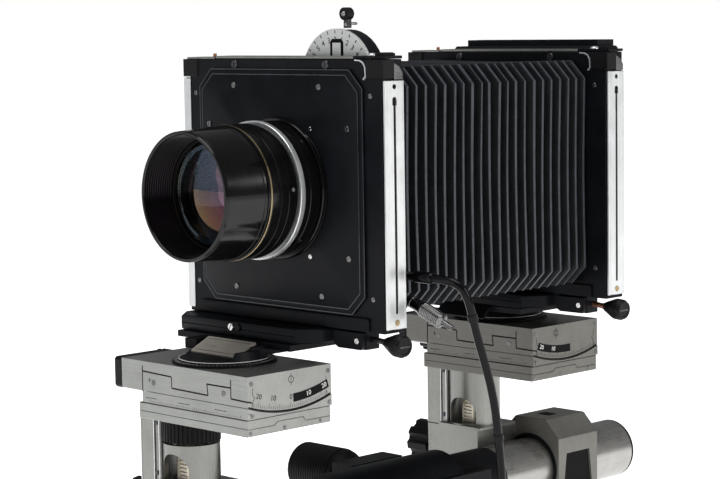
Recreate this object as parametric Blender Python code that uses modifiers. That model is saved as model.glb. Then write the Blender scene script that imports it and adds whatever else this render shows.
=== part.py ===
"""Large format view camera on a tubular rail.

Frame: +Z up, the lens looks along -Y, and the origin is the centre of the tripod
face under the rail clamp. Dimensions below are in millimetres; the helpers at the
top of the file turn them into metres.

A standard is built around its own origin, which is the point where the lens axis
meets the front plane of its frame. Front and rear standards are the same design.
"""
import math

import bmesh
import bpy
from mathutils import Matrix, Vector

MM = 0.001
GAP = 0.3                     # clearance between pieces that touch

# --- driving dimensions -----------------------------------------------------
RAIL_R = 20.0                 # rail tube, outer radius
RAIL_WALL = 2.5
RAIL_FRONT, RAIL_REAR = -216.0, 234.0
RAIL_Z = 42.0                 # rail axis above the tripod face

LENS_X, LENS_Z = 15.0, 248.9  # lens axis
FRONT_Y, REAR_Y = -95.0, 104.2  # front planes of the two frames

FRAME_HALF = 84.2             # black frame, half width; the side rails stand proud
FRAME_DEPTH = 16.4
FRAME_TOP, FRAME_BOTTOM = 75.8, -79.4
FRAME_OPENING = 59.0          # half width of the light opening
SIDE_RAIL_TOP, SIDE_RAIL_BOTTOM = 64.0, -77.2
SIDE_RAIL_OUT = 86.2

BOARD_HALF = 70.0             # 140 mm lens board
BOARD_CHAMFER = 10.6
BOARD_THICK = 2.0

BLOCK_HALF = 32.7             # half depth of the drive block along the rail
BLOCK_RIGHT, BLOCK_LEFT = 40.0, -53.0
TILT_LEFT = -72.0             # the tilt block reaches further than the cradle
BLOCK_TOP, BLOCK_BOTTOM = -100.2, -134.6
ARC_R = 97.3                  # tilt slide; its centre is the tilt axis
ARC_Z = -26.2                 # tilt axis above or below the lens axis
BASE_TOP = -124.6             # joint line between cradle and base plate

COLUMN_X = -43.0
COLUMN_R = 17.2
COLUMN_FOOT = -177.6
COLLAR_R = 17.6
RACK_FOOT = -212.0            # the rack reaches down beside the rail

FRONT_BLOCK_Y, REAR_BLOCK_Y = -33.0, 12.7    # block centres from the frame's front plane
FRONT_COLUMN_Y, REAR_COLUMN_Y = -37.0, 16.2  # column centres, likewise

ROUND = 32                    # segments of a large round piece
FINE = 40

COLOURS = {                   # base colour, metallic, roughness
    "black_enamel": ((0.012, 0.013, 0.016, 1), 0.0, 0.38),
    "black_gloss": ((0.006, 0.006, 0.007, 1), 0.0, 0.12),
    "black_rubber": ((0.016, 0.016, 0.017, 1), 0.0, 0.6),
    "satin_aluminium": ((0.62, 0.63, 0.62, 1), 0.85, 0.36),
    "bright_aluminium": ((0.78, 0.79, 0.80, 1), 0.85, 0.28),
    "cast_grey": ((0.40, 0.40, 0.37, 1), 0.7, 0.42),
    "chrome": ((0.8, 0.8, 0.8, 1), 1.0, 0.12),
    "brass": ((0.62, 0.45, 0.20, 1), 0.9, 0.3),
    "champagne": ((0.62, 0.58, 0.50, 1), 0.8, 0.35),
    "bellows_cloth": ((0.02, 0.022, 0.026, 1), 0.0, 0.55),
    "coated_glass": ((0.10, 0.06, 0.08, 1), 0.0, 0.04),
    "ground_glass": ((0.75, 0.78, 0.78, 1), 0.0, 0.6),
    "dial_silver": ((0.75, 0.75, 0.74, 1), 0.6, 0.35),
}

for leftover in list(bpy.data.objects):
    bpy.data.objects.remove(leftover, do_unlink=True)


def collection(name):
    made = bpy.data.collections.new(name)
    bpy.context.scene.collection.children.link(made)
    return made


PARTS = collection("view_camera")
TOOLS = collection("cutters")
TOOLS.hide_render = True


# --- helpers ------------------------------------------------------------------
def metres(x, y, z):
    return Vector((x, y, z)) * MM


def material(node, finish):
    made = bpy.data.materials.new(node + "_" + finish)
    made.use_nodes = True
    colour, metallic, roughness = COLOURS[finish]
    shader = made.node_tree.nodes["Principled BSDF"]
    shader.inputs["Base Color"].default_value = colour
    shader.inputs["Metallic"].default_value = metallic
    shader.inputs["Roughness"].default_value = roughness
    made.diffuse_color = colour
    return made


def add(mesh, name, finish=None):
    """A new object in the parts, or among the cutters when it has no finish."""
    made = bpy.data.objects.new(name, mesh)
    if finish is None:
        TOOLS.objects.link(made)
        made.hide_render = True
        made.display_type = "WIRE"
    else:
        PARTS.objects.link(made)
        made.data.materials.clear()
        made.data.materials.append(material(name, finish))
    return made


def evaluated_mesh(source, weld=1e-6):
    """The source's shape with its modifiers, in world space; the source goes away."""
    bpy.context.view_layer.update()
    seen = source.evaluated_get(bpy.context.evaluated_depsgraph_get())
    mesh = bpy.data.meshes.new_from_object(seen)
    mesh.transform(source.matrix_world)
    work = bmesh_from(mesh)
    bmesh.ops.remove_doubles(work, verts=work.verts, dist=weld)
    work.to_mesh(mesh)
    work.free()
    bpy.data.objects.remove(source, do_unlink=True)
    return mesh


def bmesh_from(mesh):
    work = bmesh.new()
    work.from_mesh(mesh)
    return work


def box(name, low, high, finish=None, bevel=0.0, segments=1):
    """A box between two corners, with its edges rounded by the bevel."""
    mesh = bpy.data.meshes.new(name)
    work = bmesh.new()
    bmesh.ops.create_cube(work, size=1.0)
    size = [(b - a) * MM for a, b in zip(low, high)]
    middle = [(a + b) / 2 * MM for a, b in zip(low, high)]
    bmesh.ops.scale(work, vec=size, verts=work.verts)
    bmesh.ops.translate(work, vec=middle, verts=work.verts)
    work.to_mesh(mesh)
    work.free()
    made = add(mesh, name, finish)
    if bevel:
        soften(made, bevel, segments)
    return made


def soften(made, width, segments=1):
    edge = made.modifiers.new("edges", "BEVEL")
    edge.width = width * MM
    edge.segments = segments
    edge.limit_method = "ANGLE"
    edge.angle_limit = math.radians(40)
    return made


TURN = {                      # where a profile's own X, Y and Z go
    "X": Matrix(((0, 0, 1), (1, 0, 0), (0, 1, 0))).to_4x4(),
    "Y": Matrix(((1, 0, 0), (0, 0, -1), (0, 1, 0))).to_4x4(),
    "Z": Matrix.Identity(4),
}


def turned(name, profile, centre, axis="Z", finish=None, steps=ROUND, closed=False):
    """A turned piece. The profile is (radius, height) down its outer side.

    Height runs along +X, -Y or +Z for the axes X, Y and Z. A closed profile is a
    ring; an open one starts and ends on the axis.
    """
    mesh = bpy.data.meshes.new(name)
    points = [(r * MM, 0.0, h * MM) for r, h in profile]
    edges = [(i, i + 1) for i in range(len(points) - 1)]
    if closed:
        edges.append((len(points) - 1, 0))
    mesh.from_pydata(points, edges, [])
    made = add(mesh, name, finish)
    spin = made.modifiers.new("turn", "SCREW")
    spin.axis = "Z"
    spin.steps = steps
    spin.render_steps = steps
    spin.use_merge_vertices = True
    spin.merge_threshold = 1e-5
    made.matrix_world = Matrix.Translation(metres(*centre)) @ TURN[axis]
    return made


def prism(name, outline, low, high, axis="Z", finish=None, bevel=0.0, segments=1):
    """A flat outline carried from low to high along an axis.

    The outline's points are (Y, Z) for X, (X, Z) for Y and (X, Y) for Z.
    """
    flat = bpy.data.curves.new(name, "CURVE")
    flat.dimensions = "2D"
    flat.fill_mode = "BOTH"
    flat.extrude = (high - low) / 2 * MM
    line = flat.splines.new("POLY")
    line.points.add(len(outline) - 1)
    for point, (u, v) in zip(line.points, outline):
        point.co = (u * MM, v * MM, 0, 1)
    line.use_cyclic_u = True
    guide = bpy.data.objects.new(name + "_outline", flat)
    TOOLS.objects.link(guide)
    middle = (low + high) / 2
    place = {"X": (middle, 0, 0), "Y": (0, middle, 0), "Z": (0, 0, middle)}[axis]
    guide.matrix_world = Matrix.Translation(metres(*place)) @ TURN[axis]
    made = add(evaluated_mesh(guide), name, finish)
    if bevel:
        soften(made, bevel, segments)
    return made


def combine(target, tool, operation):
    step = target.modifiers.new(tool.name, "BOOLEAN")
    step.operation = operation
    step.object = tool
    step.solver = "EXACT"
    return target


def cut(target, tool):
    return combine(target, tool, "DIFFERENCE")


def join(target, tool):
    return combine(target, tool, "UNION")


def shifted(point, origin):
    return tuple(a + b for a, b in zip(point, origin))


def arc(centre, radius, start, end, count):
    """Points along a circle, with the angles in degrees from +X towards +Y."""
    points = []
    for i in range(count + 1):
        turn = math.radians(start + (end - start) * i / count)
        points.append((centre[0] + radius * math.cos(turn), centre[1] + radius * math.sin(turn)))
    return points


def gear_outline(centre, outer, inner, teeth):
    """A knob's outline with flat-topped flutes."""
    points = []
    for i in range(teeth):
        for part, radius in ((0.0, outer), (0.42, outer), (0.58, inner), (0.84, inner)):
            turn = 2 * math.pi * (i + part) / teeth
            points.append((centre[0] + radius * math.cos(turn),
                           centre[1] + radius * math.sin(turn)))
    return points


def pivot(name, point, parent=None):
    """An empty on a joint's axis. It carries the pieces of one moving body."""
    made = bpy.data.objects.new(name, None)
    made.empty_display_size = 0.01
    TOOLS.objects.link(made)
    made.location = metres(*point)
    bpy.context.view_layer.update()
    if parent is not None:
        made.parent = parent
        made.matrix_parent_inverse = parent.matrix_world.inverted()
        bpy.context.view_layer.update()
    return made


def carry(parent, *pieces):
    bpy.context.view_layer.update()
    for piece in pieces:
        piece.parent = parent
        piece.matrix_parent_inverse = parent.matrix_world.inverted()


def smooth(*pieces):
    for piece in pieces:
        piece.data.shade_smooth()
        piece.data.set_sharp_from_angle(angle=math.radians(35))


# --- rail and clamp -------------------------------------------------------------
def rail():
    tube = turned("rail_tube", [(RAIL_R - RAIL_WALL, -RAIL_FRONT - 3), (RAIL_R, -RAIL_FRONT - 3),
                                (RAIL_R, -RAIL_REAR + 3), (RAIL_R - RAIL_WALL, -RAIL_REAR + 3)],
                  (0, 0, RAIL_Z), "Y", "satin_aluminium", FINE, closed=True)
    plug = RAIL_R - RAIL_WALL - GAP
    caps = []
    for name, end, way in (("rail_cap_front", RAIL_FRONT, 1), ("rail_cap_rear", RAIL_REAR, -1)):
        top = 3 - GAP
        profile = [(0, 0), (RAIL_R - 1, 0), (RAIL_R, -1), (RAIL_R, -top), (plug, -top),
                   (plug, -12), (0, -12)]
        if way < 0:
            profile = [(r, -h) for r, h in reversed(profile)]
        caps.append(turned(name, profile, (0, end, RAIL_Z), "Y", "black_rubber", FINE))
    smooth(tube, *caps)


CLAMP_FRONT, CLAMP_REAR = -46.0, 54.0   # ends of the rail clamp's sleeve
CLAMP_R, CLAMP_SIDE = 25.5, 29.0        # its radius, and the half width of its foot
CLAMP_KNOB = (0, 5, 54)


def rail_clamp():
    """The tripod clamp: a round sleeve on a flat foot, closed by a thick grip on its left."""
    side, over = CLAMP_SIDE, arc((0, RAIL_Z), CLAMP_R, -35, 215, 30)
    outline = [(-side, 0), (side, 0), (side, RAIL_Z - 18)] + over + [(-side, RAIL_Z - 18)]
    body = prism("clamp_body", outline, CLAMP_FRONT, CLAMP_REAR, "Y", "black_enamel")
    jaw = box("jaw_tool", (-CLAMP_SIDE + 1, -16, 42), (-10, 30, 66.4))
    join(body, jaw)
    cheek = box("cheek_tool", (12, 18, 30), (CLAMP_SIDE - 3, 76, 55))
    join(body, cheek)
    bore = turned("clamp_bore", [(0, 90), (RAIL_R + GAP, 90), (RAIL_R + GAP, -90), (0, -90)],
                  (0, 0, RAIL_Z), "Y", None, FINE)
    cut(body, bore)
    knob = turned("clamp_knob", [(0, -28.3), (8, -28.3), (8.6, -31), (15.6, -36.4), (16.5, -38),
                                 (16.5, -74.2), (15.6, -75.6), (14, -76), (0, -76)],
                  CLAMP_KNOB, "X", "black_rubber", FINE)
    carry(pivot("clamp_knob_axis", CLAMP_KNOB), knob)
    smooth(knob)


# --- one standard ---------------------------------------------------------------
def bearer(prefix, origin, column_y, head):
    """The carriage on the rail, with a casting behind the column that grips the tube."""
    x0 = -origin[0]                       # the rail's axis, seen from the standard
    rail_z = RAIL_Z - origin[2]
    outline = [(x0 - 25, rail_z - 30), (x0 + 25, rail_z - 30), (x0 + 25, rail_z + head - 12),
               (x0 + 13.5, rail_z + head), (x0 - 13.5, rail_z + head), (x0 - 25, rail_z + head - 12)]
    casting = prism(prefix + "bearer", outline, column_y + 25, column_y + 66, "Y", "cast_grey")
    saddle = box(prefix + "saddle_tool", (COLUMN_X - 32.2, column_y - 13, rail_z - 8),
                 (x0 - 14, column_y + 30, COLUMN_FOOT - GAP))
    join(casting, saddle)
    bore = turned(prefix + "bore_tool", [(0, 200), (RAIL_R + GAP, 200), (RAIL_R + GAP, -200), (0, -200)],
                  (x0, column_y, rail_z), "Y", None, FINE)
    cut(casting, bore)
    well = box(prefix + "well_tool", (COLUMN_X - 6.8, column_y - 8.3, rail_z - 20),
               (COLUMN_X + 6.8, column_y + 8.3, COLUMN_FOOT + 5))
    cut(casting, well)
    for piece in (casting, saddle, bore, well):
        piece.location = piece.location + metres(*origin)
    return casting


def column(prefix, origin, column_y, collared):
    """Fixed upright: a tube with a long window, and a flat guide bar on its left."""
    top = BLOCK_BOTTOM - (16.0 if collared else 0.0) - GAP
    x, y = COLUMN_X, column_y
    tube = turned(prefix + "column", [(0, top - 0.4), (COLUMN_R, top - 0.4), (COLUMN_R, COLUMN_FOOT),
                                      (0, COLUMN_FOOT)], (x, y, 0), "Z", "satin_aluminium", FINE)
    bar_top = BLOCK_BOTTOM - GAP
    outline = [(x - 32.2, y - 13), (x - 20.4, y - 13), (x - 20.4, y - 11.6), (x - 18.6, y - 11.6),
               (x - 18.6, y - 12.4), (x - 13.5, y - 12.4), (x - 13.5, y + 11), (x - 32.2, y + 11)]
    bar = prism(prefix + "guide_tool", outline, COLUMN_FOOT, bar_top, "Z")
    join(tube, bar)
    slot_top = BLOCK_BOTTOM - 22.0
    slot = [(-10.5, COLUMN_FOOT + 3), (10.5, COLUMN_FOOT + 3)]
    slot += arc((0, slot_top - 10.5), 10.5, 0, 180, 12)
    window = prism(prefix + "window_tool", slot, -60, 60, "Y")
    window.matrix_world = (Matrix.Translation(metres(x + 0.6, y, 0))
                           @ Matrix.Rotation(math.radians(3), 4, "Z"))
    bore = turned(prefix + "core_tool", [(0, bar_top + 5), (COLUMN_R - 3.2, bar_top + 5),
                                         (COLUMN_R - 3.2, COLUMN_FOOT - 5), (0, COLUMN_FOOT - 5)],
                  (x, y, 0), "Z", None, FINE)
    cut(tube, bore)
    cut(tube, window)
    for piece in (tube, bar, window, bore):
        piece.location = piece.location + metres(*origin)
    smooth(tube)
    return tube


def standard(prefix, origin, block_y, column_y, head, collared):
    """Every piece of one standard, on its chain of bodies."""
    def at(*point):
        return shifted(point, origin)

    def solid(name, low, high, finish, bevel=0.0, segments=1):
        return box(prefix + name, at(*low), at(*high), finish, bevel, segments)

    def profile_yz(points):
        return [(y + origin[1], z + origin[2]) for y, z in points]

    def profile_xy(points):
        return [(x + origin[0], y + origin[1]) for x, y in points]

    def profile_xz(points):
        return [(x + origin[0], z + origin[2]) for x, z in points]

    back, front = block_y + BLOCK_HALF, block_y - BLOCK_HALF

    # carriage and focus knob
    carriage = pivot(prefix + "focus_slide", (0, origin[1] + column_y, RAIL_Z))
    feet = bearer(prefix, origin, column_y, head)
    upright = column(prefix, origin, column_y, collared)
    carry(carriage, feet, upright)
    knob_z, knob_x = RAIL_Z - origin[2] + 13, COLUMN_X - 32.2 - GAP
    knob = prism(prefix + "focus_knob", gear_outline((column_y + origin[1], knob_z + origin[2]), 14.5, 12.5, 8),
                 knob_x + origin[0] - 18.8, knob_x + origin[0] - 0.8, "X", "black_rubber")
    stem = turned(prefix + "stem_tool", [(0, 0), (6, 0), (6, -6), (0, -6)],
                  at(knob_x, column_y, knob_z), "X", None, 20)
    join(knob, stem)
    carry(pivot(prefix + "focus_knob_axis", at(knob_x, column_y, knob_z), carriage), knob)

    # rise: the inner rack, the base plate and the lock collar
    riser = pivot(prefix + "rise_slide", at(COLUMN_X, column_y, BLOCK_BOTTOM), carriage)
    rack = solid("rack", (COLUMN_X - 6, column_y - 7.5, RACK_FOOT),
                 (COLUMN_X + 6, column_y + 7.5, BLOCK_BOTTOM - GAP), "champagne", 0.8)
    plate = solid("base_plate", (BLOCK_LEFT - 3.5, front, BLOCK_BOTTOM),
                  (BLOCK_RIGHT - 0.6, back, BASE_TOP - GAP), "satin_aluminium", 0.5)
    pieces = [rack, plate]
    if collared:
        teeth = gear_outline((COLUMN_X + origin[0], column_y + origin[1]), COLLAR_R, COLLAR_R - 0.8, 40)
        collar = prism(prefix + "lift_collar", teeth, BLOCK_BOTTOM - 15.5 + origin[2],
                       BLOCK_BOTTOM - GAP * 2 + origin[2], "Z", "black_rubber")
        hole = turned(prefix + "collar_tool", [(0, 10), (9.9, 10), (9.9, -40), (0, -40)],
                      at(COLUMN_X, column_y, BLOCK_BOTTOM), "Z", None, 24)
        cut(collar, hole)
        bite = box(prefix + "collar_bite", at(COLUMN_X - 40, column_y - 14, BLOCK_BOTTOM - 20),
                   at(COLUMN_X - 13.2, column_y + 12, BLOCK_BOTTOM + 5))
        cut(collar, bite)
        carry(riser, collar)
    carry(riser, *pieces)

    # cross slide: the cradle, whose top is the arc of the tilt slide
    cross = pivot(prefix + "shift_slide", at(0, block_y, BASE_TOP), riser)
    reach = math.degrees(math.asin((BLOCK_HALF - 0.01) / (ARC_R + GAP)))
    cradle_top = arc((block_y, ARC_Z), ARC_R + GAP, 270 - reach, 270 + reach, 14)
    outline = [(front, BASE_TOP), (back, BASE_TOP)] + cradle_top[::-1]
    cradle = prism(prefix + "cradle", profile_yz(outline), BLOCK_LEFT + origin[0],
                   BLOCK_RIGHT + 0.4 + origin[0], "X", "satin_aluminium")
    carry(cross, cradle)

    # tilt block, hanging on the arc
    tilt = pivot(prefix + "tilt_axis", at(0, block_y, ARC_Z), cross)
    reach = math.degrees(math.asin((BLOCK_HALF - 0.01) / ARC_R))
    outline = [(back, BLOCK_TOP), (front, BLOCK_TOP)] + arc((block_y, ARC_Z), ARC_R, 270 - reach, 270 + reach, 14)
    block = prism(prefix + "tilt_block", profile_yz(outline), TILT_LEFT + origin[0],
                  BLOCK_RIGHT + origin[0], "X", "satin_aluminium")
    cap = solid("tilt_cap", (TILT_LEFT - 9.5, front + 1, -119), (TILT_LEFT - GAP, front + 38, BLOCK_TOP),
                "black_rubber", 1.5)
    disc = turned(prefix + "degree_disc", [(0, 1.2), (30.5, 1.2), (31.0, 0.7), (31.0, 0), (0, 0)],
                  at(-16, block_y, BLOCK_TOP + GAP), "Z", "black_enamel", FINE)
    carry(tilt, block, cap, disc)
    knob_y, knob_z = block_y + 13.0, -117.5
    tilt_knob = prism(prefix + "tilt_knob",
                      gear_outline((knob_y + origin[1], knob_z + origin[2]), 15.5, 14.3, 20),
                      TILT_LEFT - 20 + origin[0], TILT_LEFT - 11 + origin[0], "X", "black_rubber")
    stub = turned(prefix + "stub_tool", [(0, 14), (5, 14), (5, 0), (0, 0)],
                  at(TILT_LEFT - 14 - GAP, knob_y, knob_z), "X", None, 16)
    join(tilt_knob, stub)
    carry(pivot(prefix + "tilt_knob_axis", at(TILT_LEFT, knob_y, knob_z), tilt), tilt_knob)

    # swing: turret, carrier bar and frame
    swing = pivot(prefix + "swing_axis", at(-16, block_y, BLOCK_TOP), tilt)
    turret_base = BLOCK_TOP + 1.2 + 2 * GAP
    turret = turned(prefix + "turret", [(0, -92.3), (25, -92.3), (27, turret_base), (0, turret_base)],
                    at(-16, block_y, 0), "Z", "black_enamel", ROUND)
    slab = box(prefix + "slab_tool", at(-73, min(block_y + 12, -17.5), -92.4),
               at(27.6, max(block_y + 26, 20), -88.6))
    join(turret, slab)
    link = box(prefix + "link_tool", at(-52, block_y, -96), at(8, max(block_y + 30, 18), -90))
    join(turret, link)
    bar_outline = [(-73.4, -17.5), (28, -17.5), (39, -5), (39, 10), (28, 20), (-73.4, 20),
                   (-84.4, 10), (-84.4, -5)]
    bar = prism(prefix + "carrier_bar", profile_xy(bar_outline), -88.3 + origin[2],
                FRAME_BOTTOM - GAP + origin[2], "Z", "black_enamel", 0.8)
    carry(swing, turret, bar)

    depth, half = FRAME_DEPTH, FRAME_HALF
    rim = solid("frame", (-half, 0, FRAME_BOTTOM), (half, depth, FRAME_TOP), "black_enamel")
    hole = box(prefix + "light_tool", at(-FRAME_OPENING, -5, -FRAME_OPENING),
               at(FRAME_OPENING, depth + 5, FRAME_OPENING))
    cut(rim, hole)
    lug = box(prefix + "lug_tool", at(42.2, 3, -90.5), at(LOCK_POINT[0], 14, FRAME_BOTTOM + 2))
    join(rim, lug)
    shell = [rim]
    for name, way in (("left", -1), ("right", 1)):
        ends = sorted((way * (FRAME_HALF + GAP), way * SIDE_RAIL_OUT))
        shell.append(solid("side_rail_" + name, (ends[0], 0.4, SIDE_RAIL_BOTTOM),
                           (ends[1], depth - 0.4, SIDE_RAIL_TOP), "bright_aluminium", 0.4))
    latch_pivot = pivot(prefix + "top_latch_slide", at(40, 8, FRAME_TOP + 1), swing)
    latch = solid("top_latch", (-58, 1.2, FRAME_TOP + GAP), (86, depth - 1.2, FRAME_TOP + 2.0),
                  "black_enamel", 0.4)
    carry(latch_pivot, latch)
    carry(swing, *shell)

    lock_pivot = pivot(prefix + "frame_lock_axis", at(*LOCK_POINT), swing)
    lock = frame_lock(prefix, origin)
    carry(lock_pivot, lock)
    return {"swing": swing, "carriage": carriage}


LOCK_POINT = (66.0, 8.5, -84.6)
LOCK_DROOP = math.radians(5)


def frame_lock(prefix, origin):
    """The clamping screw of the frame: a rod with a conical knob, drooping a little."""
    profile = [(0, 31), (5.6, 31), (6.6, 29.4), (6.6, 24), (3.0, 16), (1.7, 15.8), (1.7, 0.6), (0, 0.6)]
    screw = turned(prefix + "frame_lock", profile, shifted(LOCK_POINT, origin), "X", "black_rubber", 20)
    anchor = Matrix.Translation(metres(*shifted(LOCK_POINT, origin)))
    screw.matrix_world = anchor @ Matrix.Rotation(LOCK_DROOP, 4, "Y") @ anchor.inverted() @ screw.matrix_world
    smooth(screw)
    return screw


# --- lens -----------------------------------------------------------------------
def lens(origin, swing):
    """Lens board and lens. Heights in the profiles run forwards from the board."""
    def ring(name, profile, finish, closed=True, steps=FINE):
        return turned(name, profile, shifted((0, 0, 0), origin), "Y", finish, steps, closed)

    corner = BOARD_HALF - BOARD_CHAMFER
    outline = [(-BOARD_HALF, -corner), (-corner, -BOARD_HALF), (corner, -BOARD_HALF), (BOARD_HALF, -corner),
               (BOARD_HALF, corner), (corner, BOARD_HALF), (-corner, BOARD_HALF), (-BOARD_HALF, corner)]
    outline = [(x + origin[0], z + origin[2]) for x, z in outline]
    board = prism("lens_board", outline, origin[1] - GAP - BOARD_THICK, origin[1] - GAP, "Y", "black_enamel")
    board_hole = turned("board_tool", [(0, 20), (31, 20), (31, -20), (0, -20)], origin, "Y", None, FINE)
    cut(board, board_hole)
    seat = BOARD_THICK + 2 * GAP
    flange = ring("lens_flange", [(32, 5.8), (41.4, 5.8), (41.9, 5.2), (41.9, seat), (32, seat)], "black_gloss")
    rear = ring("lens_rear_barrel", [(29.0, 18.0), (39.9, 18.0), (40.1, 6.1), (30.7, 6.1), (30.7, -12), (27.6, -12),
                                     (27.6, 0)], "black_gloss")
    silver = ring("aperture_ring", [(31, 22.4), (40.2, 22.4), (40.7, 21.8), (40.7, 18.9), (40.2, 18.3), (31, 18.3)],
                  "bright_aluminium")
    middle = ring("lens_middle_barrel", [(30.5, 42.4), (39.1, 42.4), (39.7, 22.7), (30.5, 22.7)], "black_gloss")
    brass = ring("lens_brass_ring", [(31, 45.6), (39.0, 45.6), (39.5, 45.2), (39.5, 42.9), (39.1, 42.7), (31, 42.7)],
                 "brass")
    hood = ring("lens_hood", [(35.2, 75.8), (36.6, 75.8), (37.2, 75.2), (37.9, 60), (38.8, 45.9), (32.4, 45.9),
                              (32.4, 56), (34.6, 75.2)], "black_gloss")
    front_glass = turned("front_glass", [(0, 62.0), (9, 61.4), (18, 59.6), (26, 56.8), (32.1, 53.6), (32.1, 47),
                                         (29, 46.2), (0, 46.2)], origin, "Y", "coated_glass", FINE)
    iris = ring("iris_blades", [(14, 20.2), (30.6, 20.2), (30.6, 19.8), (14, 19.8)], "black_enamel")
    rear_glass = turned("rear_glass", [(0, -3), (25, -3), (27.2, -4), (27.2, -8), (24, -9.5), (12, -11.5), (0, -12)],
                        origin, "Y", "coated_glass", FINE)
    smooth(flange, rear, silver, middle, brass, hood, front_glass, iris, rear_glass)
    axis = pivot("aperture_axis", shifted((0, -20, 0), origin), swing)
    carry(swing, board, flange, rear, middle, brass, hood, front_glass, rear_glass)
    carry(axis, silver, iris)


# --- behind-the-lens shutter ------------------------------------------------------
DIAL_X, DIAL_Z, DIAL_R = 30.0, 64.0, 29.2


def shutter(origin, swing):
    """Shutter box behind the front frame, with its speed dial standing above the top bar."""
    def at(*point):
        return shifted(point, origin)

    near, far = FRAME_DEPTH + GAP, FRAME_DEPTH + 14.0
    centre = at(DIAL_X, 0, DIAL_Z)
    case = box("shutter_housing", at(-72, near, -72), at(72, far, 72), "black_enamel")
    drum = turned("drum_tool", [(0, -near - 3.6), (28.6, -near - 3.6), (28.6, -far + 0.4), (0, -far + 0.4)],
                  centre, "Y", None, FINE)
    join(case, drum)
    light = box("shutter_light_tool", at(-48, near - 5, -48), at(48, far + 5, 34))
    cut(case, light)
    pocket = turned("pocket_tool", [(0, 5), (DIAL_R + 0.8, 5), (DIAL_R + 0.8, -near - 3.3), (0, -near - 3.3)],
                    centre, "Y", None, FINE)
    cut(case, pocket)
    dial = turned("speed_dial", [(0, -near - 0.6), (DIAL_R, -near - 0.6), (DIAL_R, -near - 3.0), (0, -near - 3.0)],
                  centre, "Y", "dial_silver", FINE)
    stem = (DIAL_X + 2.8, DIAL_X + 6.8)
    arm = box("shutter_lever", at(stem[0], near + 4.4, DIAL_Z + 29.3), at(stem[1], near + 7.6, DIAL_Z + 36),
              "black_rubber")
    grip = turned("grip_tool", [(0, -near - 2), (3.7, -near - 2), (3.7, -near - 8.2), (0, -near - 8.2)],
                  at(DIAL_X + 4.8, 0, DIAL_Z + 37.7), "Y", None, 20)
    pin = turned("pin_tool", [(0, -near - 5), (0.8, -near - 5), (0.8, -near - 13.6), (0, -near - 13.6)],
                 at(DIAL_X + 4.8, 0, DIAL_Z + 32), "Y", None, 10)
    join(arm, grip)
    join(arm, pin)
    dial_axis = pivot("speed_dial_axis", at(DIAL_X, near, DIAL_Z), swing)
    lever_axis = pivot("shutter_lever_axis", at(DIAL_X, near + 6, DIAL_Z), swing)
    carry(dial_axis, dial)
    carry(lever_axis, arm)
    carry(swing, case)
    smooth(dial)


# --- cable release ------------------------------------------------------------------
CABLE_R = 2.5
SOCKET = (72.3, 24.5, -48.5)  # where the release screws into the shutter box
SYNC = (73.0, 24.5, -59.5)    # the flash contact beside it


def smooth_route(points, step):
    """Points every step along a Catmull-Rom curve through the given points."""
    points = [Vector(p) for p in points]
    ends = [2 * points[0] - points[1]] + points + [2 * points[-1] - points[-2]]
    fine = []
    for a, b, c, d in zip(ends, ends[1:], ends[2:], ends[3:]):
        for i in range(24):
            t = i / 24
            fine.append(0.5 * ((2 * b) + (c - a) * t + (2 * a - 5 * b + 4 * c - d) * t * t
                               + (3 * b - a - 3 * c + d) * t ** 3))
    fine.append(points[-1])
    total = sum((b - a).length for a, b in zip(fine, fine[1:]))
    spacing = total / round(total / step)
    walked, due, result = 0.0, spacing, [fine[0]]
    for a, b in zip(fine, fine[1:]):
        length = (b - a).length
        while due <= walked + length + 1e-6 and len(result) < round(total / spacing):
            result.append(a.lerp(b, (due - walked) / length))
            due += spacing
        walked += length
    result.append(fine[-1])
    return result


LOOP_CENTRE = (146.0, -6.5)   # the cable's loose turns on the supporting surface
LOOP_R, LOOP_PITCH, LOOP_TURNS = 24.0, 6.6, 1.42
FLOOR_Z = CABLE_R + 0.3


def cable_route():
    """The cable's middle line: out of its sleeve, down, and round in loose turns."""
    hang = [(114.6, -70.5, 200.4), (119.0, -70.5, 200.3), (124.0, -70.2, 199.9), (130.0, -69.2, 198.6),
            (134.4, -67.6, 195.0), (136.4, -65.0, 187.6), (136.4, -62.0, 178.4), (136.4, -58.5, 168.0),
            (137.0, -54.0, 154.6), (137.6, -49.0, 139.0), (137.4, -45.0, 124.6), (136.3, -41.0, 107.0),
            (134.4, -36.6, 86.0), (132.6, -33.2, 64.0), (131.4, -31.2, 42.0), (131.8, -30.6, 24.0),
            (134.6, -30.5, 12.0), (139.6, -30.5, 5.2)]
    turns = []
    count = round(LOOP_TURNS * 20)
    for i in range(count + 1):
        turn = math.radians(-90 + 360 * LOOP_TURNS * i / count)
        radius = LOOP_R + LOOP_PITCH * LOOP_TURNS * i / count
        rise = max(0.0, i - count + 2) * 1.5
        turns.append((LOOP_CENTRE[0] + radius * math.cos(turn), LOOP_CENTRE[1] + radius * math.sin(turn),
                      FLOOR_Z + rise))
    return hang + turns


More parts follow.
